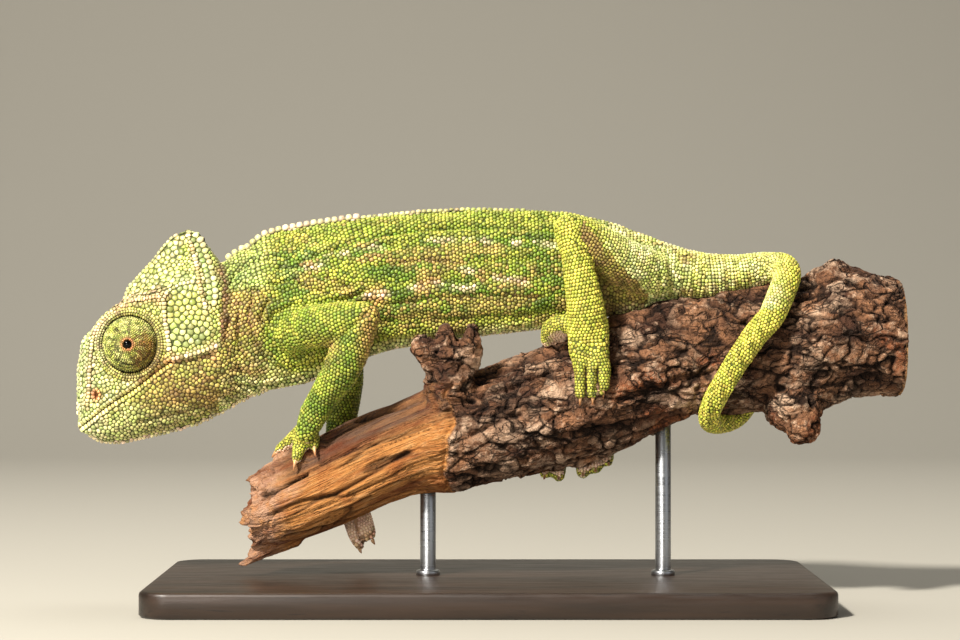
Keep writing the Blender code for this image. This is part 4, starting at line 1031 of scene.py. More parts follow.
def markings(points, normals):
    x, y, z = points.T
    side = points[:, [0, 2]] + np.column_stack((cloud(points, 1.6, 71, 2), cloud(points, 1.6, 83, 2))) * 0.4
    owner, ratio, place = nearestAxis(points)
    limb = 1 - step(ratio, 1.15, 1.45)
    names = np.array([axis["name"] for axis in axes])[owner]
    head = headFace(points).astype(float)
    top, low, _ = trunkAt(x)
    limb = np.maximum(limb, step(low - z, 2.0, 3.5)) * (1 - head)
    body = (1 - head) * (1 - limb)
    flank = step(np.abs(normals[:, 1]), 0.2, 0.5)
    d = {key: lineDistance(side, line) for key, line in sideLines.items()}
    m = {key.lower(): np.zeros(len(points)) for keys in markFields.values() for key in keys}
    single = latticeNoise(points * 1.9, 67)  # sets single scales apart from their neighbours
    patch = cloud(points * (0.45, 1.0, 1.3), 2.5, 31) + 0.25 * single
    speck = cloud(points, 1.9, 37, 2) + 0.25 * single
    warm = cloud(points * (0.4, 1.0, 1.2), 2.4, 47) - 0.25 * single

    def add(key, share):
        m[key] = np.maximum(m[key], share)

    def spot(cx, cz, r):
        return bump(np.hypot(side[:, 0] - cx, side[:, 1] - cz), r)

    def on(*wanted):
        return limb * np.isin(names, wanted)

    # head
    eye = eyeDistance(points)
    atNostril = np.hypot(x - nostril[0], z - nostril[1])
    ridge = np.maximum.reduce([share * bump(d[key], 0.62) for key, share in paleRidges.items()])
    brow = head * bump(d["brow"], 1.0)
    nose = head * bump(nostrilDistance(side), 0.8)
    behindEye = inside(side, temple)
    front = head * step(d["canthus"], 0.5, 1.2) * (side[:, 0] < -77.8) * (side[:, 1] < 52)
    add("cream", head * flank * ridge * (0.35 + 0.45 * step(speck, -0.4, 0.3)))
    add("cream", head * (1 - flank) * 0.45 * step(speck, -0.3, 0.4))
    add("cream", 0.85 * head * (np.abs(y) < 0.75) * (normals[:, 2] < -0.2))
    add("cream", 0.5 * brow)
    add("orange", head * np.maximum.reduce([
        0.9 * spot(-65.2, 60.7, 1.5), 0.8 * spot(-67.0, 60.3, 1.0), 0.5 * spot(-69.4, 59.9, 1.0),
        0.8 * bump(d["mouth"], 0.34), 0.95 * bump(atNostril - 0.75, 0.62), 0.7 * spot(-62.7, 47.9, 1.3),
        0.6 * spot(-54.3, 49.0, 2.0) * step(warm, -0.4, 0.2),
        0.4 * spot(-57.6, 68.4, 2.0) * step(speck, -0.2, 0.4),
        0.6 * flank * ridge * step(speck, 0.45, -0.3),
        0.7 * bump(d["orbitTop"], 0.7) * step(warm, -0.5, 0.0),
    ]))
    add("orange", step(nose, 0.25, 0.5))
    add("orange", 0.75 * brow * step(single, -0.5, 0.3))
    add("brown", head * np.maximum.reduce([
        0.7 * spot(-67.1, 37.9, 1.2) * step(speck, -0.3, 0.2),
        0.7 * spot(-61.9, 40.4, 1.9) * step(speck, -0.2, 0.3),
        0.6 * spot(-64.6, 39.4, 1.3) * step(speck, -0.2, 0.3),
        0.55 * bump(d["jawFold"], 0.3), 0.5 * spot(-57.4, 47.0, 1.4), 0.6 * bump(d["rictus"], 0.25),
        0.95 * bump(lineDistance(points[:, [0, 2]], sideLines["mouth"]), 0.24),
        0.9 * bump(eye - 5.75, 0.22), 0.75 * bump(eye - 6.75, 0.22), 0.5 * bump(eye - 7.4, 0.3),
        0.7 * bump(eye - 6.2, 0.5) * step(speck, -0.1, 0.3), 0.45 * bump(atNostril, 0.35),
    ]))
    add("blue", np.maximum.reduce([
        0.75 * front, head * 0.8 * (d["rearEdge"] < 2.2) * (x > -59.5) * (z > 60),
        head * 0.6 * behindEye * step(60 - z, 2, 7), head * 0.45 * (z > 61.5) * step(speck, -0.1, 0.5),
    ]))
    add("yellow", head * np.maximum.reduce([
        0.55 * (1 - step(d["mouth"], 1.0, 3.2)), 0.9 * (1 - step(eye, 6.9, 7.4)),
        0.5 * step(x, -80, -60) * step(speck, -0.3, 0.5) * step(50 - z, 0, 3),
    ]))
    add("deep", head * np.maximum.reduce([
        0.8 * spot(-68.8, 45.9, 1.7) * step(patch, -0.4, 0.1), 0.7 * spot(-66.4, 41.3, 1.5),
        0.6 * spot(-74.2, 37.6, 1.3), 0.55 * step(patch, 0.12, 0.4) * step(z, 36, 40) * (z < 49),
        0.3 * behindEye * step(speck, 0.0, 0.5),
    ]))
    cheek = head * (1 - step(z, 47, 50)) * step(x, -76, -62) * (0.35 + 0.65 * step(z, 36, 40.5))
    add("tan", cheek * (0.4 + 0.55 * step(warm, -0.3, 0.2)))
    upperLip = 1 - step(lineDistance(side, sideLines["mouth"][:5]), 1.0, 5.0)
    add("pale", head * (1 - m["deep"]) * (1 - 0.6 * m["tan"]) * np.maximum.reduce([
        0.6 * step(z, 59, 63) * step(speck, -0.8, 0.2), 0.25 + 0.45 * step(-x, 72, 78),
        0.15 * behindEye, 0.5 * (1 - step(z, 38, 43)),
        0.75 * upperLip * step(z - 41 - (x + 72) * 0.68, 0.0, 1.0),
    ]))

    # neck, back, flank and belly; tall runs from the belly's line to the back's
    tall = np.clip((z - low) / (top - low), 0, 1)
    neck = body * step(-x, 40, 47) * step(z, 43, 46)
    nape = body * step(-x, 41, 46) * step(z, 60.5, 63)
    onFlank = body * flank
    spread = -0.12 + 0.16 * step(tall, 0.45, 0.85)
    patches = step(patch, spread - 0.06, spread + 0.16)
    m["deep"] += onFlank * 0.9 * patches * between(tall, 0.1, 0.2, 0.84, 0.9)
    add("deep", onFlank * (0.3 + 0.3 * step(single, -0.2, 0.3)) * step(x, -32, -22) * step(tall, 0.06, 0.2))
    # Painted shade: deep green along the grooves of the back
    add("deep", onFlank * np.maximum(0.75 * bump(d["backGroove"], 0.85), 0.5 * bump(d["backGrooveLow"], 0.7)))
    m["tan"] += onFlank * 0.62 * step(warm, -0.05, 0.2) * (1 - step(tall, 0.6, 0.9)) * step(x, -40, -26)
    shoulder = between(x, -42, -36, -24, -16) * step(tall, 0.5, 0.7)
    m["tan"] += onFlank * 0.62 * step(warm, -0.05, 0.25) * shoulder
    add("tan", neck * (0.45 + 0.4 * step(warm, -0.3, 0.3)) * (1 - 0.8 * nape))
    # Painted shadow: brown under the casque's rear edge
    add("brown", body * 0.85 * bump(lineDistance(side, casqueShadowLine), 1.0))
    add("brown", neck * 0.5 * step(speck, 0.2, 0.5) * (1 - nape))
    add("deep", neck * 0.7 * step(patch, 0.1, 0.35) * (1 - step(-x, 48, 52)))
    throat = body * (1 - step(z, 49, 53)) * step(-x, 47.5, 52) * step(z, 38, 43)
    add("tan", throat * (0.4 + 0.5 * step(warm, -0.3, 0.2)))
    add("blue", nape * 0.75)
    add("blue", onFlank * 0.5 * step(-x, 28, 38) * step(tall, 0.5, 0.7) * step(speck, -0.1, 0.4))
    lines = np.minimum.reduce([lineDistance(side, line) for line in streaks])
    add("cream", onFlank * 0.85 * bump(lines, 0.55) * step(speck, -0.45, 0.25))
    add("orange", onFlank * 0.8 * spot(-21.8, 60.6, 2.0))
    add("orange", onFlank * 0.8 * 0.4 * bump(lines, 1.5) * step(warm, 0, 0.3))
    add("yellow", body * 0.15 * step(tall, 0.86, 0.93))
    add("deep", body * 0.6 * step(tall, 0.84, 0.92) * step(patch, -0.35, 0.0))
    crest = body * (np.abs(y) < 0.85) * (normals[:, 2] > 0.5) * (1 - 0.7 * step(x, -24, 10))
    add("cream", crest * (0.5 + 0.4 * step(speck, -0.3, 0.3)) * (1 - 0.6 * step(x, 10, 30)))
    keel = (np.abs(y) < 0.7) * (normals[:, 2] < -0.4) * (x < 30)
    add("pale", body * 0.65 * (1 - step(tall, 0.02, 0.12 + 0.3 * step(-x, 38, 48))))
    add("pale", keel * 1.0)
    add("cream", keel * 0.6)
    rump = body * step(x, 24, 32)
    add("yellow", rump * (0.5 + 0.5 * step(x, 40, 54)))
    m["tan"] *= 1 - 0.5 * rump
    add("tan", rump * 0.6 * step(warm, 0.12, 0.35))
    add("deep", rump * 0.55 * step(patch, 0.05, 0.3) * (1 - step(x, 48, 54)))

    # limbs and tail
    shadedThigh = (1 - head) * (names != "shankLeft") * inside(side, shadedThighField)
    hips = (1 - shadedThigh) * (1 - on("shankLeft", "shankRight")) * between(x, 20, 27, 54, 60) * (z > 58)
    elbow = np.linalg.norm(points - np.array((-30.0, -11.0, 50.0)), axis=1)
    toe = limb * isToe[owner]
    add("yellow", on("armLeft", "armRight") * 0.1)
    add("yellow", on("shankLeft", "shankRight") * 0.7)
    add("yellow", on("tail") * 0.95)
    add("yellow", toe * 0.5)
    add("deep", on("armLeft", "armRight") * (0.3 + 0.5 * step(speck, -0.2, 0.3)))
    add("deep", on("forearmLeft", "forearmRight") * (0.45 + 0.4 * step(patch, 0.0, 0.3)))
    add("deep", on("tail") * (0.1 + 0.25 * step(speck, -0.2, 0.3)))
    # Painted shade: tan and brown on the shaded inner thigh
    add("tan", shadedThigh * (0.35 + 0.35 * step(speck, -0.3, 0.3)))
    add("brown", shadedThigh * (0.3 + 0.3 * step(patch, -0.2, 0.3)))
    add("pale", hips * (0.3 + 0.4 * step(speck, -0.1, 0.2)))
    add("tan", limb * 0.7 * bump(elbow, 3.2) * step(-x, 27, 29))
    add("orange", on("forearmLeft") * 0.45 * step(x, -26.5, -23.5))
    inward = unit(np.column_stack((0 * x, -y, axisHeight(x) - z)))
    sole = toe * step((normals * inward).sum(axis=1), 0.3, 0.6) * step(place, 0.3, 0.45)
    # Painted light: the hanging forefoot takes the bright sole colour all over, partly its own pale colour,
    # partly painted light against the branch's shadow
    hanging = (z < 24) * (x < -20) * np.clip(limb + body, 0, 1)
    tips = hanging * step(13.2 - z + 0.7 * (x + 25), 0.0, 1.4) * (z < 16)
    for key in m:
        m[key] *= 1 - hanging
    add("orange", 0.9 * tips)
    m["sole"] = np.maximum(sole, hanging * (0.98 - 0.6 * tips))
    return m


def packMarks(points, normals):
    m = markings(points, normals)
    hollow = creaseShade
    if len(points) != len(creaseShade):
        hollow = creaseShade[[hollowTree.find(p)[1] for p in points]]
    # Painted shade: creases of the skin get deep green or brown, and the pale and cream marks fade in them
    warmPlace = np.clip(m["tan"] + m["brown"], 0, 1)
    m["deep"] = np.maximum(m["deep"], 0.6 * hollow * (1 - warmPlace))
    m["brown"] = np.maximum(m["brown"], 0.75 * hollow * warmPlace)
    for key in ("pale", "cream"):
        m[key] = m[key] * (1 - 0.6 * hollow)
    # Painted shade: brown in the splits between the toes
    m["brown"] = np.maximum(m["brown"], bump(splitDistance(points), 0.4))
    fields = {field: [m[key.lower()] for key in keys] for field, keys in markFields.items()}
    return {field: np.column_stack(values).clip(0, 1) for field, values in fields.items()}


hollowTree = treeOf(skinPoints)
setPoints(skin, skinPoints, packMarks(skinPoints, skinNormals))
print("skin marked")

siteOwner, siteRatio, sitePlace = nearestAxis(sitePoints)
siteHead = headFace(sitePoints)
siteLimb = (siteRatio < 1.3) & ~siteHead
axisWays = [unit(np.gradient(axis["path"][:, :3], axis=0)) for axis in axes]
siteWays = np.tile((1.0, 0.02, 0.01), (len(sitePoints), 1))
siteWays[siteHead] = ahead + 0.01
for i in np.flatnonzero(siteLimb):
    ways = axisWays[siteOwner[i]]
    siteWays[i] = ways[int(round(sitePlace[i] * (len(ways) - 1)))] + 0.003
corners, spread, rise = growScales(sitePoints, siteNormals, siteWays, siteSizes, siteHeights)
siteMarks = packMarks(sitePoints, siteNormals)
print("scales grown", len(corners))


def roundPlace(points, path):  # the angle of points round a middle line
    ways = unit(np.gradient(path, axis=0))
    nearest = np.array([np.linalg.norm(path - p, axis=1).argmin() for p in points])
    way = ways[nearest]
    upward = np.array((0.13, -0.2, 1.0))
    across = unit(upward - way * (way @ upward)[:, None])
    other = np.cross(way, across)
    offset = points - path[nearest]
    turn = np.arctan2((offset * other).sum(axis=1), (offset * across).sum(axis=1))
    return nearest / (len(path) - 1), turn / (2 * math.pi) + 0.5


def spreadOut(values):  # stretches values over nearly the whole map
    return 0.01 + 0.98 * (values - values.min()) / max(np.ptp(values), 1e-6)


alongHead = np.linspace(-12, 23, 60)[:, None]
headLine = mouthCorner + ahead * alongHead + headUp * (2.5 + 0.12 * (22 - alongHead))


def unwrapLimbs(chosen):  # each limb has its own band of the map, as wide as its share of the scales
    uv = np.zeros((len(chosen), 2))
    floor = 0.0
    for owner in np.unique(siteOwner[chosen]):
        mine = np.flatnonzero(siteOwner[chosen] == owner)
        band = len(mine) / len(chosen)
        s, turn = roundPlace(sitePoints[chosen[mine]], axes[owner]["path"][:, :3])
        uv[mine] = np.column_stack((spreadOut(s), floor + band * (0.02 + 0.96 * turn)))
        floor += band
    return uv * 0.98 + 0.01


def unwrapRound(chosen, path):
    s, turn = roundPlace(sitePoints[chosen], path)
    return np.column_stack((spreadOut(s), spreadOut(turn)))


mostScales = 4800
names = np.array([axis["name"] for axis in axes])[siteOwner]
regions = {
    "headLeft": siteHead & (sitePoints[:, 1] < 0), "headRight": siteHead & (sitePoints[:, 1] >= 0),
    "tail": siteLimb & (names == "tail"),
    "foreLimbs": siteLimb & (names != "tail") & (sitePoints[:, 0] < -5),
    "hindLimbs": siteLimb & (names != "tail") & (sitePoints[:, 0] >= -5),
    "trunkLeft": ~siteHead & ~siteLimb & (sitePoints[:, 1] < 0),
    "trunkRight": ~siteHead & ~siteLimb & (sitePoints[:, 1] >= 0),
}
scalePieces = []
for region, mask in regions.items():
    chosen = np.flatnonzero(mask)
    chosen = chosen[np.argsort(sitePoints[chosen, 0])]
    for number, part in enumerate(np.array_split(chosen, math.ceil(len(chosen) / mostScales))):
        if "Limbs" in region or region == "tail":
            uv = unwrapLimbs(part)
        else:
            uv = unwrapRound(part, headLine if "head" in region else trunkMiddle)
        marks = {key: values[part] for key, values in siteMarks.items()}
        name = f"scales_{region}_{number + 1}"
        piece = scalePiece(name, corners[part], spread, rise[part], sitePoints[part], uv, marks)
        scalePieces.append(piece)
        print(name, len(part))


# Eyes: a turret of lid skin with fine grains, and the eyeball behind its round opening

eyeValues = {"radius": 5.6, "opening": 1.05, "grain": 0.42, "coat": 0.12, "ball": 1.35, "ballPlace": 9.2}


def lidCrease(rho, turn):  # the crease below and behind the pupil
    away = np.abs((turn + math.radians(72) + math.pi) % (2 * math.pi) - math.pi)
    return bump(rho - 3.95 - 0.45 * np.cos(turn), 0.2) * (1 - step(away, 0.86, 1.1))


def lidFields(points):  # what the lid's colours need: the way out from the pupil, and the dark lines
    x, z = points[:, 0] - eyeCentre[0], points[:, 2] - eyeCentre[2]
    rho, turn = np.hypot(x, z), np.arctan2(z, x)
    return {"fromPupil": rho, "spokes": np.maximum(0.75 * spokesAt(rho, turn), lidCrease(rho, turn))}


def spokesAt(rho, turn):  # the lid's folds run out from the pupil like spokes
    wander = 0.5 * np.sin(2 * turn + 0.7) + 0.16 * np.sin(5 * turn + rho)
    folds = np.clip(2.6 * np.cos(9 * (turn + 0.1 * wander * rho)) - 1.5, 0, 1)
    return folds * between(rho, 1.2, 1.8, 3.4, 4.8)


def turretRadius(polar, turn):  # the turret's size along a direction; polar is measured from its tip
    rho = np.sin(np.minimum(polar, math.pi / 2)) * eyeValues["radius"]
    lip = bump(rho - eyeValues["opening"] - 0.3, 0.24)
    outer = step(rho, 4.1, 4.5) * step(-np.sin(turn), -0.5, 0.3)
    lip += 0.9 * outer * np.sin(2 * math.pi * (rho - 4.0) / 0.62)
    folds = 0.4 * lidCrease(rho, turn) + 0.16 * spokesAt(rho, turn)
    return eyeValues["radius"] - eyeValues["coat"] + 0.1 * lip - folds


def turretPoint(side, polar, turn):
    reach = turretRadius(polar, turn)
    flat = reach * np.sin(polar)
    out = np.stack((flat * np.cos(turn), side * reach * np.cos(polar), flat * np.sin(turn)), axis=-1)
    return (eyeCentre[0], side * eyeSide, eyeCentre[2]) + out


def makeTurret(side, label):
    radius, size, turns = eyeValues["radius"], eyeValues["grain"], ringTurns(96)
    start, end = math.asin(eyeValues["opening"] / radius), math.radians(100)
    opening = ((0.5, 8.7), (0.95, 9.3), (1.06, 9.85))
    rings = [sideRing(eyeCentre, rho, turns, side * y) for rho, y in opening]
    rings += [turretPoint(side, np.full(len(turns), polar), turns) for polar in np.linspace(start, end, 60)]
    edge = rings[-1]
    for share, y in ((1.0, 3.0), (0.4, 2.7)):
        ring = eyeCentre + (edge - eyeCentre) * share
        ring[:, 1] = side * y
        rings.append(ring)
    points = np.vstack(rings)
    loops, sizes = latheFaces(len(rings), len(turns), side > 0)
    base = makeObject(f"eyelid_{label}", points, loops, sizes, lidFields(points))

    polars, spins, number = [], [], 0
    polar = start + 0.3 * size / radius
    while polar < math.radians(93):
        count = max(6, round(2 * math.pi * math.sin(polar) * radius / size))
        even = (np.arange(count) + 0.5 * (number % 2)) / count * 2 * math.pi
        spins.append(even + random.normal(0, 0.012, count))
        polars.append(polar + random.normal(0, 0.006, count))
        polar += 0.88 * size / radius
        number += 1
    polars, spins = np.concatenate(polars), np.concatenate(spins)
    clear = lidCrease(radius * np.sin(polars), spins) < 0.55
    polars, spins = polars[clear], spins[clear]
    grains = turretPoint(side, polars, spins)
    normals = unit(grains - (eyeCentre[0], side * eyeSide, eyeCentre[2]))
    ways = np.column_stack((-np.sin(spins), 0 * spins, np.cos(spins)))
    wide, high = np.full(len(grains), size), np.full(len(grains), 0.42)
    grown = growScales(grains, normals, ways, wide, high, sink=0.05)
    uv = 0.5 + (polars / end * 0.46)[:, None] * np.column_stack((np.cos(spins), np.sin(spins)))
    return base, scalePiece(f"scales_eyelid_{label}", *grown, grains, uv, lidFields(grains))


def makeEyeball(side, label):
    radius, place, turns = eyeValues["ball"], eyeValues["ballPlace"], ringTurns(48)
    rings, share = [], []
    for polar in np.radians(np.linspace(4, 176, 44)):
        reach = radius * (0.9 + 0.1 * bump(polar, 0.75))  # the cornea stands a little proud
        flat = reach * math.sin(polar)
        rings.append(sideRing(eyeCentre, flat, turns, side * (place + reach * math.cos(polar))))
        share.append(np.full(len(turns), flat if polar < math.pi / 2 else radius))
    loops, sizes = latheFaces(len(rings), len(turns), side > 0)
    return makeObject(f"eye_{label}", np.vstack(rings), loops, sizes, {"fromPupil": np.concatenate(share)})


eyelids, eyelidScales, eyes = [], [], []
for side, label in ((-1, "left"), (1, "right")):
    base, coat = makeTurret(side, label)
    eyelids.append(base)
    eyelidScales.append(coat)
    eyes.append(makeEyeball(side, label))
    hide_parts(f"eye_turret_{label}")
    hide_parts(f"eyeball_{label}")
print("eyes made")


# Claws, one joined mesh for each bundle of toes

clawValues = {
    "length": 2.2, "radius": 0.46, "root": 0.7, "hook": 0.24, "hangingLength": 1.2,
    "steps": (0.0, 0.15, 0.3, 0.45, 0.6, 0.72, 0.84, 0.93, 0.98, 1.0),
}


def makeClaws(name, palm, radius, toes):
    turns, steps, rings = ringTurns(14), clawValues["steps"], []
    length = clawValues["hangingLength" if name == "foreOuterRight" else "length"]
    for toe in toes:
        chain = np.array((palm, *toe))
        way = unit(chain[-1] - chain[-2])
        root = chain[-1] + way * (radius * 0.95 - clawValues["root"] - trimmed.get(name, 0.0))
        middle = branchAt(max(-45.0, min(root[0], 79.0)))[0]
        inward = np.array((0, -root[1], middle - root[2]))
        inward = unit(inward - way * (inward @ way))
        across = np.cross(way, inward)
        section = np.cos(turns)[:, None] * across * 0.8 + np.sin(turns)[:, None] * inward
        for t in steps:
            centre = root + way * length * t + inward * clawValues["hook"] * length * t * t
            rings.append(centre + (clawValues["radius"] * (1 - t**1.5) ** 0.75 + 0.03) * section)
    loops, sizes = latheFaces(len(steps), len(turns), True)
    loops = loops + len(steps) * len(turns) * np.arange(len(toes))[:, None]
    sizes, along = np.tile(sizes, len(toes)), np.tile(np.repeat(steps, len(turns)), len(toes))
    return makeObject(f"claws_{name}", np.vstack(rings), loops.ravel(), sizes, {"along": along})


claws = [makeClaws(*bundle) for bundle in bundles]


# The branch: bark in cracked plates to the right, bare weathered wood to the left

perchValues = {"voxel": 0.34, "smoothing": 18, "plate": 4.4, "chip": 1.5}


def cells(points, size, seed):  # how far from the border between scattered spots, and a number for each spot
    draw = np.random.default_rng(seed)
    low, high = points.min(axis=0) - size, points.max(axis=0) + size
    counts = np.ceil((high - low) / size).astype(int)
    grid = np.stack(np.meshgrid(*[np.arange(n) for n in counts], indexing="ij"), axis=-1).reshape(-1, 3)
    spots = low + (grid + draw.random(grid.shape)) * size
    near = treeOf(points[:: max(1, len(points) // 3000)])
    spots = np.array([p for p in spots if near.find(p)[2] < size * 2.5])
    tree = treeOf(spots)
    found = [tree.find_n(p, 2) for p in points]
    border = np.array([second[2] - first[2] for first, second in found])
    number = draw.random(len(spots))[np.array([first[1] for first, _ in found])]
    return border / size, number


woodCracks = (  # long cracks in the bare wood, seen from the side, with their depth
    (((-44.0, 21.6), (-40.0, 23.4), (-36.0, 25.8)), 1.3),
    (((-34.2, 34.2), (-28.0, 36.0), (-21.0, 37.8), (-16.4, 39.0)), 1.2),
    (((-42.0, 18.0), (-37.0, 20.2), (-30.0, 21.6), (-22.0, 26.2), (-16.0, 29.8)), 0.8),
    (((-40.0, 12.6), (-33.0, 14.4), (-26.0, 16.2)), 0.9),
    (((-33.0, 28.0), (-26.0, 30.6), (-19.0, 32.6), (-12.0, 35.2)), 0.6),
    (((-31.0, 17.6), (-27.0, 18.6), (-23.0, 20.8)), 0.7),
)
barkGrooves = (
    (((-1.8, 41.3), (3.0, 42.6), (9.8, 45.2), (14.0, 46.6)), 1.6),
    (((26.0, 40.2), (33.0, 42.6), (38.0, 44.6), (47.0, 45.8)), 1.5),
    (((14.0, 33.0), (22.0, 34.4), (30.0, 35.2), (38.0, 38.0)), 0.9),
    (((-3.0, 33.4), (3.0, 36.6), (6.4, 37.4)), 1.2),
    (((52.0, 55.0), (58.0, 53.0), (66.0, 54.2), (74.0, 52.0)), 0.9),
)
# Where the bark stands up: its turn round the branch, its width, its stretch along x and its height
barkSwells = (
    (62, 17, (21, 26, 47, 52), 1.7), (78, 24, (17, 21, 28, 33), 1.5), (104, 20, (19, 22, 27, 31), 1.6),
    (88, 24, (44, 47, 56, 59), 1.9),
)


def makePerch():
    obj = remeshed("perch", ["perch_branch"], perchValues["voxel"], 0.0)
    points, triangles, edges = readMesh(obj.data)
    points = smoothed(points, edges, perchValues["smoothing"])
    normals = vertexNormals(points, triangles)
    x, y, z = points.T
    side = points[:, [0, 2]]
    middle = axisHeight(x)
    turn = np.arctan2(z - middle, -y)
    edge = -9.0 + 0.32 * (40 - z) * 0.6 + 1.6 * cloud(points, 4.0, 91) + 2.0 * np.sin(turn * 2.0)
    knob = (x > -16) & (x < 2) & (z > 43.5)
    bark = np.maximum(step(x - edge, -0.35, 0.35), knob.astype(float))
    cut = step(normals[:, 0], 0.75, 0.9) * (x > 80.5)

    # bark
    warped = points + 0.9 * np.column_stack([cloud(points, 2.6, s, 3) for s in (101, 102, 103)])
    gap, plate = cells(warped * (0.6, 1, 1), perchValues["plate"], 7)
    chipGap, chip = cells(warped * (0.8, 1, 1), perchValues["chip"], 8)
    rough = cloud(points, 2.2, 111, 4)
    layers = 2.4 * cloud(warped * (0.5, 1, 1), 5.6, 127, 3)  # flaking layers, each with a broken edge
    part = layers - np.floor(layers)
    terrace = (np.floor(layers) + step(part, 0.74, 0.97)) / 2.4
    crackBark = bump(gap, 0.042) * step(cloud(points, 6.0, 121, 2), -0.45, 0.05)
    crackChip = bump(chipGap, 0.09) * step(cloud(points, 4.0, 125, 2), -0.1, 0.3)
    crumbs = 1 - 3.0 * np.abs(cloud(points, 1.1, 129, 2))
    ridges = np.abs(cloud(points * (0.5, 1, 1), 4.2, 131, 3))
    rise = 1.3 * terrace + 0.3 * (plate - 0.5) + 0.3 * rough + 0.07 * crumbs + 0.1
    rise -= 0.6 * crackBark + 0.1 * crackChip + 0.9 * bump(ridges, 0.035)
    texture = rise.copy()
    for place, wide, stretch, high in barkSwells:
        rise += high * bump(np.degrees(turn) - place, wide) * between(x, *stretch)
    broadRise = rise.copy()
    for line, deep in barkGrooves:
        rise -= deep * bump(lineDistance(side, line) + 0.4 * rough, 0.6) * (y < 0)
    rise += 0.9 * bump(np.linalg.norm(side - (11.4, 40.8), axis=1), 2.3) * (y < 0)

    # bare wood
    alongWood = np.column_stack((x, y, z - middle))
    grain = cloud(alongWood * (0.07, 1.0, 1.0), 0.8, 141, 3)
    coarse = cloud(alongWood * (0.11, 1.0, 1.0), 3.6, 151, 3)
    hollows = cloud(alongWood * (0.3, 1, 1), 2.4, 145, 3)
    shift = 0.35 * cloud(points * (0.5, 1, 1), 2.0, 161, 2)
    woodCrack = np.maximum.reduce([
        deep * bump(lineDistance(side, line) + shift, 0.32) * (y < 1) for line, deep in woodCracks
    ])
    wood = 0.13 * grain + 0.4 * coarse + 0.3 * hollows - woodCrack - 0.35 + 0.5 * rough * step(-x, 38, 44)
    wood -= 0.5 * bump(coarse - 0.1, 0.025) + 0.22 * bump(grain + 0.16, 0.04)

    relief = (wood * (1 - bark) + rise * bark) * (1 - cut)
    relief -= 0.5 * bump(x - edge + 0.5, 0.5) * (1 - knob)
    nearest = [skinTree.find_nearest(Vector(p), 3.0)[3] for p in points]
    gapToSkin = np.array([3.0 if distance is None else distance for distance in nearest])
    close = 1 - step(gapToSkin, 0.5, 1.5)  # under the animal the wood comes up to just meet it
    room = gapToSkin - 0.1
    relief = np.minimum(relief + (room - relief) * close, room)
    moved = points + normals * relief[:, None]
    ragged = step(-normals[:, 0], 0.2, 0.7) * step(-x, 39, 42)
    fibre = cloud(points * (0.12, 1.0, 1.0), 1.3, 171, 3)
    moved[:, 0] -= ragged * (1.6 * fibre + 0.6) * (1 - close)

    # what the colours need
    woodLines = woodCrack + bump(coarse - 0.1, 0.03) * 0.75 + bump(grain + 0.16, 0.04) * 0.35
    crack = np.clip(crackBark + 0.5 * crackChip + bump(ridges, 0.06), 0, 1) * bark
    crack += (1 - bark) * np.clip(woodLines, 0, 1)
    weather = (1 - bark) * step(z - middle, 2.0, 6.5) * (1 - 0.6 * step(-x, 38, 43))
    inner = bark * step(cloud(points * (0.8, 1, 1), 7.0, 181, 2), 0.12, 0.35) * step(middle + 3 - z, 0, 4)
    inner += (1 - bark) * np.maximum(step(-x, 39, 43), step(-x, 34, 41) * step(hollows, 0.0, 0.3))
    tone = plate * 0.6 + chip * 0.4 + 0.2 * (1 - step(x, 4, 12)) * (1 - knob)
    setPoints(obj, moved, {
        "looks": np.column_stack((bark, np.clip(crack, 0, 1), weather)),
        "looksMore": np.column_stack((tone, inner, cut)),
        # lift: the bark's height, for the painted highlight on raised parts and painted shade in grooves
        "lift": np.where(bark > 0.5, texture + rise - broadRise, relief),
        "alongWood": alongWood * mm,
    })
    return obj


perch = makePerch()
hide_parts("perch_branch")
print("perch made", len(perch.data.vertices))


# The stand: a flat plate and two short rods

standValues = {"corner": 6.0, "collar": 1.5}


def makePlate():
    low, high = (np.array(c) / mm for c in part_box("stand_base"))
    profile = (  # height, and how far in from the edge
        (low[2], 0.5), (low[2] + 0.5, 0.0), (high[2] - 0.8, 0.0), (high[2] - 0.35, 0.15),
        (high[2] - 0.08, 0.45), (high[2], 0.9),
    )
    corner, rings = standValues["corner"], []
    for z, inset in profile:
        ring = []
        for quarter, (cx, cy) in enumerate(((1, 1), (-1, 1), (-1, -1), (1, -1))):
            for turn in np.radians(np.linspace(0, 90, 13) + 90 * quarter):
                outX, outY = (corner - inset) * math.cos(turn), (corner - inset) * math.sin(turn)
                ring.append(((high[0] - corner) * cx + outX, (high[1] - corner) * cy + outY, z))
        rings.append(ring)
    loops, sizes = latheFaces(len(rings), len(rings[0]), False)
    return makeObject("stand_plate", np.vstack(rings), loops, sizes)


def makeRod(node, name):
    low, high = (np.array(c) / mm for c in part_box(node))
    middle, radius = (low + high) / 2, (high[0] - low[0]) / 2
    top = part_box("stand_base")[1].z / mm
    collar, turns = standValues["collar"], ringTurns(48)
    profile = (
        (low[2], 1.0), (top - 0.2, 1.0), (top - 0.2, collar), (top + 0.75, collar),
        (top + 1.0, collar - 0.08), (top + 1.1, collar - 0.25), (top + 1.1, 1.0), (top + 1.4, 1.0),
        (high[2] - 0.3, 1.0), (high[2], 0.85),
    )
    around = np.column_stack((np.cos(turns), np.sin(turns), 0 * turns))
    rings = [(middle[0], middle[1], z) + around * radius * share for z, share in profile]
    loops, sizes = latheFaces(len(rings), len(turns), False)
    return makeObject(name, np.vstack(rings), loops, sizes)


plate = makePlate()
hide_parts("stand_base")
rods = [makeRod("stand_rod_front", "stand_post_front"), makeRod("stand_rod_rear", "stand_post_rear")]
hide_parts("stand_rod_front")
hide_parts("stand_rod_rear")


# Materials

def paint(code):  # a screen colour as linear light
    channels = [int(code[i : i + 2], 16) / 255 for i in (1, 3, 5)]
    return (*[c / 12.92 if c <= 0.04045 else ((c + 0.055) / 1.055) ** 2.4 for c in channels], 1.0)


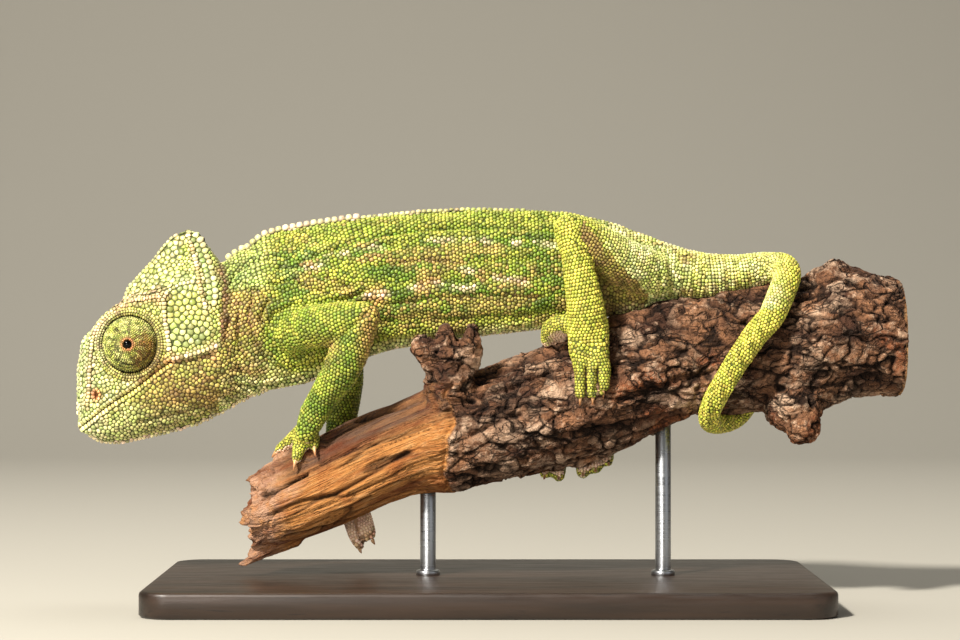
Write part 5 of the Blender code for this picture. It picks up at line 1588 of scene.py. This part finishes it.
def addGroup(name, inputs, outputs):
    group = bpy.data.node_groups.new(name, "ShaderNodeTree")
    for label, kind, value in inputs:
        socket = group.interface.new_socket(label, in_out="INPUT", socket_type=f"NodeSocket{kind}")
        if value is not None:
            socket.default_value = value
    for label, kind in outputs:
        group.interface.new_socket(label, in_out="OUTPUT", socket_type=f"NodeSocket{kind}")
    return group, group.nodes.new("NodeGroupInput"), group.nodes.new("NodeGroupOutput")


def plug(tree, socket, value):  # links or sets one input
    if isinstance(value, bpy.types.NodeSocket):
        tree.links.new(value, socket)
    elif value is not None:
        socket.default_value = value


def feed(tree, node, **values):  # links or sets inputs by their names
    for key, value in values.items():
        plug(tree, node.inputs[key.replace("_", " ")], value)
    return node


def addNode(tree, kind, **values):
    return feed(tree, tree.nodes.new(f"ShaderNode{kind}"), **values)


def mixColour(tree, factor, a, b, blend="MIX"):
    node = addNode(tree, "Mix")
    node.data_type = "RGBA"
    node.blend_type = blend
    for number, value in ((0, factor), (6, a), (7, b)):
        plug(tree, node.inputs[number], value)
    return node.outputs[2]


def layered(tree, colour, *layers):  # lays colours over the first one, each by its own mask
    for mask, tone in layers:
        colour = mixColour(tree, mask, colour, tone)
    return colour


def calculate(tree, operation, a, b=None, c=None, clamp=False):
    node = addNode(tree, "Math")
    node.operation = operation
    node.use_clamp = clamp
    for socket, value in zip(node.inputs, (a, b, c)):
        plug(tree, socket, value)
    return node.outputs[0]


def times(tree, a, b):
    return calculate(tree, "MULTIPLY", a, b)


def remap(tree, value, low, high, start=0.0, end=1.0):
    node = addNode(tree, "MapRange")
    for number, given in enumerate((value, low, high, start, end)):
        plug(tree, node.inputs[number], given)
    return node.outputs[0]


def noiseOf(tree, vector, scale, detail=3.0, roughness=0.5):
    node = addNode(tree, "TexNoise", Vector=vector, Scale=scale, Detail=detail, Roughness=roughness)
    return node.outputs["Fac"]


def attributeOf(tree, name, output="Fac"):
    node = addNode(tree, "Attribute")
    node.attribute_name = name
    return node.outputs[output]


def split(tree, vector):
    node = addNode(tree, "SeparateXYZ")
    tree.links.new(vector, node.inputs[0])
    return node.outputs


def splitField(tree, name):  # the three values of one of a mesh's fields
    return split(tree, attributeOf(tree, name, "Vector"))


def stretched(tree, vector, scale):
    return addNode(tree, "Mapping", Vector=vector, Scale=scale).outputs[0]


def objectPlace(tree):
    return addNode(tree, "TexCoord").outputs["Object"]


def painted(codes):
    return {key: paint(code) for key, code in codes.items()}


# Sole is the toes' pale underside, made brighter as painted light for the hanging forefoot in the branch's
# shadow
bodyColours = {
    "Body": "#acac43", "Deep": "#5a7422", "Blue": "#97ab66", "Yellow": "#c1ba4c", "Tan": "#ae9352",
    "Cream": "#e6d0aa", "Orange": "#cf8f62", "Brown": "#6b4836", "Pale": "#dfdda4", "Sole": "#ffdcc2",
}
# Painted shade between the scales: a dark crevice colour, and a lighter one on the soles
scaleColours = {"creviceShade": "#16180a", "soleCreviceShade": "#e6c29c"}
skinColours = {"dark": "#39431a", "darkWarm": "#5b4430", "sole": "#d8b08a", "orange": "#a5623a"}
markOrder = ("Deep", "Blue", "Yellow", "Pale", "Tan", "Brown", "Orange", "Cream", "Sole")


def makeMarkingsGroup():
    inputs = [(f"{key} Share", "Float", 0.0) for key in markOrder]
    inputs += [(f"{key} Colour", "Color", paint(code)) for key, code in bodyColours.items()]
    group, start, end = addGroup("Markings", inputs, [("Colour", "Color")])
    given = start.outputs
    layers = [(given[f"{key} Share"], given[f"{key} Colour"]) for key in markOrder]
    feed(group, end, Colour=layered(group, given["Body Colour"], *layers))
    return group


def makeToneAndShadeGroup():  # small changes of tone from scale to scale, and painted light and shade inside each one: lighter tops, dark crevices
    group, start, end = addGroup("Scale tone and painted shade", [
        ("Colour", "Color", None), ("Place", "Vector", None), ("Tint", "Float", 0.5), ("Rise", "Float", 0.5),
        ("Crevice", "Color", None), ("Crevice Reach", "Float", 0.45), ("Variety", "Float", 0.5),
    ], [("Colour", "Color"), ("Roughness", "Float"), ("Height", "Float")])
    given = start.outputs
    fine = noiseOf(group, given["Place"], 1900, 2)
    own = calculate(group, "SUBTRACT", given["Tint"], 0.5)
    tone = calculate(group, "MULTIPLY_ADD", own, given["Variety"], 1.0)
    tone = times(group, tone, remap(group, fine, 0.3, 0.7, 0.86, 1.14))
    # Painted light and shade: each scale is lighter towards its top and darker towards its foot
    lit = times(group, tone, remap(group, given["Rise"], 0.3, 1.0, 0.76, 1.2))
    grey = addNode(group, "CombineColor", Red=lit, Green=lit, Blue=lit).outputs[0]
    colour = mixColour(group, 1.0, given["Colour"], grey, "MULTIPLY")
    second = calculate(group, "FRACT", times(group, given["Tint"], 17.31))
    shade = mixColour(group, second, (0.8, 0.98, 0.72, 1.0), (1.16, 1.03, 1.24, 1.0))
    shaded = mixColour(group, 1.0, colour, shade, "MULTIPLY")
    # Painted shade: the crevice colour covers the lower walls of each scale
    edge = remap(group, given["Rise"], 0.0, given["Crevice Reach"], 1.0, 0.0)
    colour = layered(group, colour, (given["Variety"], shaded), (edge, given["Crevice"]))
    feed(group, end, Colour=colour, Roughness=remap(group, fine, 0.2, 0.8, 0.3, 0.5), Height=fine)
    return group


markingsGroup, toneAndShadeGroup = makeMarkingsGroup(), makeToneAndShadeGroup()


def startMaterial(name, **settings):
    material = bpy.data.materials.new(name)
    material.use_nodes = True
    tree = material.node_tree
    shader = next(n for n in tree.nodes if n.type == "BSDF_PRINCIPLED")
    return material, tree, feed(tree, shader, **settings)


def addBump(tree, shader, height, strength, distance):
    node = addNode(tree, "Bump", Strength=strength, Distance=distance, Height=height)
    feed(tree, shader, Normal=node.outputs[0])


def placeGroup(tree, group, **values):
    node = addNode(tree, "Group")
    node.node_tree = group
    return feed(tree, node, **values).outputs


def markedColour(tree):
    shares = {}
    for field, keys in markFields.items():
        for key, share in zip(keys, splitField(tree, field)):
            shares[f"{key}_Share"] = share
    return placeGroup(tree, markingsGroup, **shares)["Colour"]


def toneAndShadeScales(tree, shader, place, **values):
    tint, rise = attributeOf(tree, "tint"), attributeOf(tree, "rise")
    toneAndShade = placeGroup(tree, toneAndShadeGroup, Place=place, Tint=tint, Rise=rise, **values)
    feed(tree, shader, Base_Color=toneAndShade["Colour"], Roughness=toneAndShade["Roughness"])


def makeScaleMaterial():
    material, tree, shader = startMaterial("scales", Specular_IOR_Level=0.42)
    c = painted(scaleColours)
    sole = splitField(tree, "marksThree")[2]
    toneAndShadeScales(
        tree, shader, attributeOf(tree, "root", "Vector"), Colour=markedColour(tree),
        Crevice=mixColour(tree, sole, c["creviceShade"], c["soleCreviceShade"]), Crevice_Reach=0.5,
        Variety=remap(tree, sole, 0.0, 1.0, 0.95, 0.3),
    )
    addBump(tree, shader, noiseOf(tree, objectPlace(tree), 5200, 2), 0.25, 0.00006)
    return material


def makeSkinMaterial():
    material, tree, shader = startMaterial("skin", Specular_IOR_Level=0.3, Roughness=0.7)
    c, place = painted(skinColours), objectPlace(tree)
    tan, _, orange = splitField(tree, "marksTwo")
    brown, _, sole = splitField(tree, "marksThree")
    dark = mixColour(tree, calculate(tree, "ADD", brown, tan, clamp=True), c["dark"], c["darkWarm"])
    dark = mixColour(tree, sole, dark, c["sole"])
    feed(tree, shader, Base_Color=layered(
        tree, dark, (0.16, markedColour(tree)), (remap(tree, noiseOf(tree, place, 900, 4), 0.35, 0.7), dark),
        (remap(tree, orange, 0.85, 1.0, 0.0, 0.85), c["orange"]),
    ))
    addBump(tree, shader, noiseOf(tree, place, 2600, 4), 0.4, 0.00015)
    return material


lidColours = {
    # rear: brown on the turret's lower rear, partly its own colour, partly painted shade
    "pale": "#dad782", "green": "#b0b052", "speck": "#59602a", "fold": "#3a3515", "rear": "#96682f",
    # crevice: painted shade between the lid's grains
    "rim": "#b07a4a", "outside": "#15130c", "creviceShade": "#232109", "skin": "#2a2412",
}


def makeLidMaterial(name, isScale):
    material, tree, shader = startMaterial(name, Specular_IOR_Level=0.4)
    c = painted(lidColours)
    place = attributeOf(tree, "root", "Vector") if isScale else objectPlace(tree)
    x, _, z = split(tree, place)
    rho, spokes = attributeOf(tree, "fromPupil"), attributeOf(tree, "spokes")
    green = remap(tree, noiseOf(tree, place, 420, 3), 0.42, 0.6)
    speck = remap(tree, noiseOf(tree, place, 1100, 2, 0.6), 0.53, 0.6)
    # Painted shade: brown on the lower rear of the turret, away from the light, partly the turret's own brown
    rear = remap(tree, x, eyeCentre[0] * mm - 0.0002, eyeCentre[0] * mm + 0.0024)
    lower = remap(tree, z, eyeCentre[2] * mm + 0.0032, eyeCentre[2] * mm + 0.0006)
    uneven = remap(tree, noiseOf(tree, place, 380, 3), 0.35, 0.6, 0.4, 1.0)
    warm = times(tree, times(tree, rear, lower), uneven)
    colour = layered(
        tree, c["pale"], (green, c["green"]), (times(tree, speck, 0.8), c["speck"]),
        (times(tree, spokes, 0.9), c["fold"]), (times(tree, warm, 0.9), c["rear"]),
        (remap(tree, rho, 1.7, 1.15), c["rim"]), (remap(tree, rho, 5.15, 5.45), c["outside"]),
    )
    if isScale:
        look = {"Crevice": c["creviceShade"], "Crevice_Reach": 0.55, "Variety": 0.95}
        toneAndShadeScales(tree, shader, place, Colour=colour, **look)
    else:
        feed(tree, shader, Roughness=0.65, Base_Color=mixColour(tree, 0.55, colour, c["skin"]))
        place = objectPlace(tree)
    addBump(tree, shader, noiseOf(tree, place, 5200, 2), 0.25, 0.00005)
    return material


eyeColours = {"gold": "#a8763a", "goldDark": "#5d3517", "pupil": "#030202", "edge": "#24140b"}


def makeEyeMaterial():
    material, tree, shader = startMaterial(
        "eyeball", Roughness=0.16, Coat_Weight=0.04, Coat_Roughness=0.06, Specular_IOR_Level=0.16
    )
    c, rho = painted(eyeColours), attributeOf(tree, "fromPupil")
    streaky = noiseOf(tree, objectPlace(tree), 2400, 3)
    gold = mixColour(tree, remap(tree, streaky, 0.35, 0.65), c["gold"], c["goldDark"])
    iris, edge = remap(tree, rho, 0.82, 0.9), remap(tree, rho, 0.98, 1.12)
    feed(tree, shader, Base_Color=layered(tree, c["pupil"], (iris, gold), (edge, c["edge"])))
    return material


clawColours = {"root": "#dcae7c", "tip": "#a3683c", "streak": "#8a5b3a"}


def makeClawMaterial():
    material, tree, shader = startMaterial("claw", Roughness=0.38, Specular_IOR_Level=0.5)
    c, place = painted(clawColours), objectPlace(tree)
    tip = remap(tree, attributeOf(tree, "along"), 0.3, 0.95)
    streak = times(tree, remap(tree, noiseOf(tree, place, 2200, 3), 0.4, 0.7), 0.4)
    feed(tree, shader, Base_Color=layered(tree, c["root"], (tip, c["tip"]), (streak, c["streak"])))
    addBump(tree, shader, noiseOf(tree, place, 3000, 2), 0.3, 0.00005)
    return material


barkColours = {
    "bark": "#b07d5a", "barkDark": "#54382a", "barkLight": "#e8c3a4", "inner": "#a3603c",
    "crack": "#1a100a", "wood": "#c28448", "woodDark": "#9c582c", "woodLight": "#e2b47c",
    "woodEnd": "#bd957c", "weather": "#6c5140", "cutWood": "#c29a6b", "stain": "#6a351d",
}


def crackLines(tree, place, scale, wide, mask):  # a fine broken net of cracks
    warp = addNode(tree, "TexNoise", Vector=place, Scale=scale * 0.8, Detail=3)
    shift = addNode(tree, "VectorMath")
    shift.operation = "MULTIPLY_ADD"
    for number, value in enumerate((warp.outputs["Color"], (1.1 / scale,) * 3, place)):
        plug(tree, shift.inputs[number], value)
    net = addNode(tree, "TexVoronoi", Vector=shift.outputs[0], Scale=scale)
    net.feature = "DISTANCE_TO_EDGE"
    return times(tree, remap(tree, net.outputs["Distance"], 0.0, wide, 1.0, 0.0), mask)


def sawnEnd(tree, place, broad, c):
    offset = addNode(tree, "Mapping", Vector=place, Location=(0, 0, -0.052))
    rings = addNode(
        tree, "TexWave", Vector=offset.outputs[0], Scale=190, Distortion=5.0, Detail=3, Detail_Scale=1.6
    )
    rings.wave_type = "RINGS"
    rings.rings_direction = "X"
    return layered(
        tree, c["cutWood"], (times(tree, rings.outputs["Fac"], 0.5), c["wood"]),
        (remap(tree, broad, 0.45, 0.65, 0.0, 0.6), c["woodDark"]),
    )


def makeBarkMaterial():
    material, tree, shader = startMaterial("bark", Specular_IOR_Level=0.2)
    c, place = painted(barkColours), objectPlace(tree)
    isBark, crack, weather = splitField(tree, "looks")
    plate, inner, cut = splitField(tree, "looksMore")
    lift, fibres = attributeOf(tree, "lift"), attributeOf(tree, "alongWood", "Vector")
    broad, fine = noiseOf(tree, place, 160, 4), noiseOf(tree, place, 1300, 5, 0.65)
    flecks = noiseOf(tree, place, 520, 5, 0.7)
    # Painted highlight: the light bark colour goes on raised places, partly lighter flakes, partly painted
    # highlight
    raised = calculate(tree, "ADD", flecks, remap(tree, lift, -0.3, 0.8, -0.14, 0.14))
    long = stretched(tree, place, (0.6, 1.0, 1.0))
    wide = crackLines(tree, long, 330, 0.07, remap(tree, noiseOf(tree, place, 210, 3), 0.42, 0.56))
    thin = remap(tree, noiseOf(tree, place, 330, 3), 0.44, 0.58, 0.0, 0.8)
    net = calculate(tree, "MAXIMUM", wide, crackLines(tree, long, 820, 0.11, thin))

    colour = layered(
        tree, c["bark"], (remap(tree, broad, 0.36, 0.62), c["barkDark"]),
        (remap(tree, raised, 0.48, 0.64, 0.0, 0.9), c["barkLight"]),
        (remap(tree, fine, 0.5, 0.36, 0.0, 0.75), c["barkDark"]),
        (remap(tree, plate, 0.5, 0.85, 0.0, 0.38), c["barkLight"]),
        (remap(tree, plate, 0.4, 0.15, 0.0, 0.35), c["barkDark"]),
        (times(tree, inner, remap(tree, fine, 0.62, 0.42)), c["inner"]),
        # painted shade: dark in the bark's grooves and hollows
        (remap(tree, lift, -0.2, -1.2, 0.0, 0.8), c["barkDark"]), (times(tree, net, 0.85), c["crack"]),
    )

    grainPlace = stretched(tree, fibres, (0.07, 1.0, 1.0))
    grain, threads = noiseOf(tree, grainPlace, 700, 4, 0.6), noiseOf(tree, grainPlace, 2600, 3, 0.6)
    grey = mixColour(tree, remap(tree, threads, 0.45, 0.65), c["weather"], c["barkDark"])
    spots = noiseOf(tree, stretched(tree, fibres, (0.35, 1.0, 1.0)), 150, 5, 0.65)
    wood = layered(
        tree, c["wood"], (remap(tree, grain, 0.48, 0.66, 0.0, 0.6), c["woodDark"]),
        (remap(tree, threads, 0.5, 0.66, 0.0, 0.45), c["woodLight"]),
        (remap(tree, broad, 0.55, 0.7, 0.0, 0.6), c["woodDark"]),
        (times(tree, weather, remap(tree, grain, 0.65, 0.45, 0.5, 1.0)), grey),
        (times(tree, inner, remap(tree, flecks, 0.36, 0.56, 0.25, 0.85)), c["woodEnd"]),
        (remap(tree, spots, 0.5, 0.62, 0.0, 0.8), c["stain"]),
    )

    sawn = sawnEnd(tree, place, broad, c)
    colour = layered(tree, wood, (isBark, colour), (times(tree, crack, 0.9), c["crack"]), (cut, sawn))
    feed(tree, shader, Base_Color=colour, Roughness=remap(tree, fine, 0.3, 0.7, 0.72, 0.95))
    crumbs = calculate(tree, "ADD", fine, times(tree, flecks, 1.2))
    crumbs = calculate(tree, "ADD", crumbs, times(tree, net, -0.8))
    addBump(tree, shader, mixColour(tree, isBark, threads, crumbs), 1.0, 0.0011)
    return material


standColours = {"wood": "#3a2a20", "woodDark": "#20160f", "pores": "#120b07", "steel": "#b9bcc0"}


def makeStandMaterial():
    material, tree, shader = startMaterial("standWood", Coat_Weight=0.12, Coat_Roughness=0.3)
    c, grainPlace = painted(standColours), stretched(tree, objectPlace(tree), (0.07, 1.0, 1.0))
    grain, pores = noiseOf(tree, grainPlace, 260, 4), noiseOf(tree, grainPlace, 1500, 3, 0.7)
    colour = layered(
        tree, c["wood"], (remap(tree, grain, 0.35, 0.65), c["woodDark"]),
        (remap(tree, pores, 0.6, 0.7, 0.0, 0.7), c["pores"]),
    )
    feed(tree, shader, Base_Color=colour, Roughness=remap(tree, pores, 0.4, 0.7, 0.36, 0.55))
    addBump(tree, shader, pores, 0.25, 0.0001)
    return material


def makeSteelMaterial():
    steel = paint(standColours["steel"])
    material, tree, shader = startMaterial("standSteel", Metallic=1.0, Base_Color=steel)
    turned = noiseOf(tree, stretched(tree, objectPlace(tree), (1.0, 1.0, 40.0)), 180, 3)
    feed(tree, shader, Roughness=remap(tree, turned, 0.3, 0.7, 0.24, 0.42))
    addBump(tree, shader, turned, 0.08, 0.00005)
    return material


def dress(objects, material):
    for obj in objects:
        obj.data.materials.clear()
        obj.data.materials.append(material)
        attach(obj, "root")


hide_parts(*fleshNodes)
dress([skin], makeSkinMaterial())
dress(scalePieces, makeScaleMaterial())
dress(eyelids, makeLidMaterial("eyelid", False))
dress(eyelidScales, makeLidMaterial("eyelidScales", True))
dress(eyes, makeEyeMaterial())
dress(claws, makeClawMaterial())
dress([perch], makeBarkMaterial())
dress([plate], makeStandMaterial())
dress(rods, makeSteelMaterial())
print("materials done")


# Floor, light and camera

def makeStage():
    profile = [(-6.0, 0.0), (0.55, 0.0)]
    profile += [(0.55 + 0.5 * math.sin(t), 0.5 - 0.5 * math.cos(t)) for t in np.radians(np.arange(6, 91, 6))]
    profile += [(1.05, 2.2)]
    points = [(x, y, z) for x in (-5.0, 5.0) for y, z in profile]
    count = len(profile)
    faces = [(i, i + 1, i + 1 + count, i + count) for i in range(count - 1)]
    mesh = bpy.data.meshes.new("backdrop")
    mesh.from_pydata(points, [], [f[::-1] for f in faces])
    mesh.polygons.foreach_set("use_smooth", [True] * len(faces))
    obj = bpy.data.objects.new("backdrop", mesh)
    bpy.context.scene.collection.objects.link(obj)
    grey = {"Base_Color": paint("#b4b0a6"), "Roughness": 0.9, "Specular_IOR_Level": 0.1}
    mesh.materials.append(startMaterial("backdrop", **grey)[0])


def addLight(name, place, target, power, size, colour):
    data = bpy.data.lights.new(name, "AREA")
    data.energy, data.size, data.color = power, size, colour
    obj = bpy.data.objects.new(name, data)
    obj.location = place
    obj.rotation_euler = (Vector(target) - Vector(place)).to_track_quat("-Z", "Y").to_euler()
    bpy.context.scene.collection.objects.link(obj)


makeStage()
middleOf = (0.0, 0.0, 0.055)
addLight("key", (-0.42, -0.56, 0.62), middleOf, 17.0, 0.09, (1.0, 0.95, 0.86))
addLight("fill", (0.7, -0.6, 0.25), middleOf, 0.6, 0.7, (0.93, 0.96, 1.0))
addLight("low", (-0.3, -0.75, 0.03), (-0.02, 0.0, 0.02), 2.8, 0.3, (1.0, 0.96, 0.9))
addLight("top", (0.1, 0.35, 0.75), middleOf, 2.6, 0.5, (1.0, 0.98, 0.92))
world = bpy.data.worlds.new("studio")
world.use_nodes = True
feed(world.node_tree, world.node_tree.nodes["Background"], Color=(1.0, 0.98, 0.94, 1), Strength=0.1)
bpy.context.scene.world = world
bpy.context.scene.view_settings.view_transform = "Standard"

cameraData = bpy.data.cameras.new("camera")
cameraData.lens, cameraData.sensor_width = 100, 36
camera = bpy.data.objects.new("camera", cameraData)
camera.location = (-0.0016, -0.5333, 0.056)
camera.rotation_euler = (math.radians(90), 0, 0)
bpy.context.scene.collection.objects.link(camera)
bpy.context.scene.camera = camera
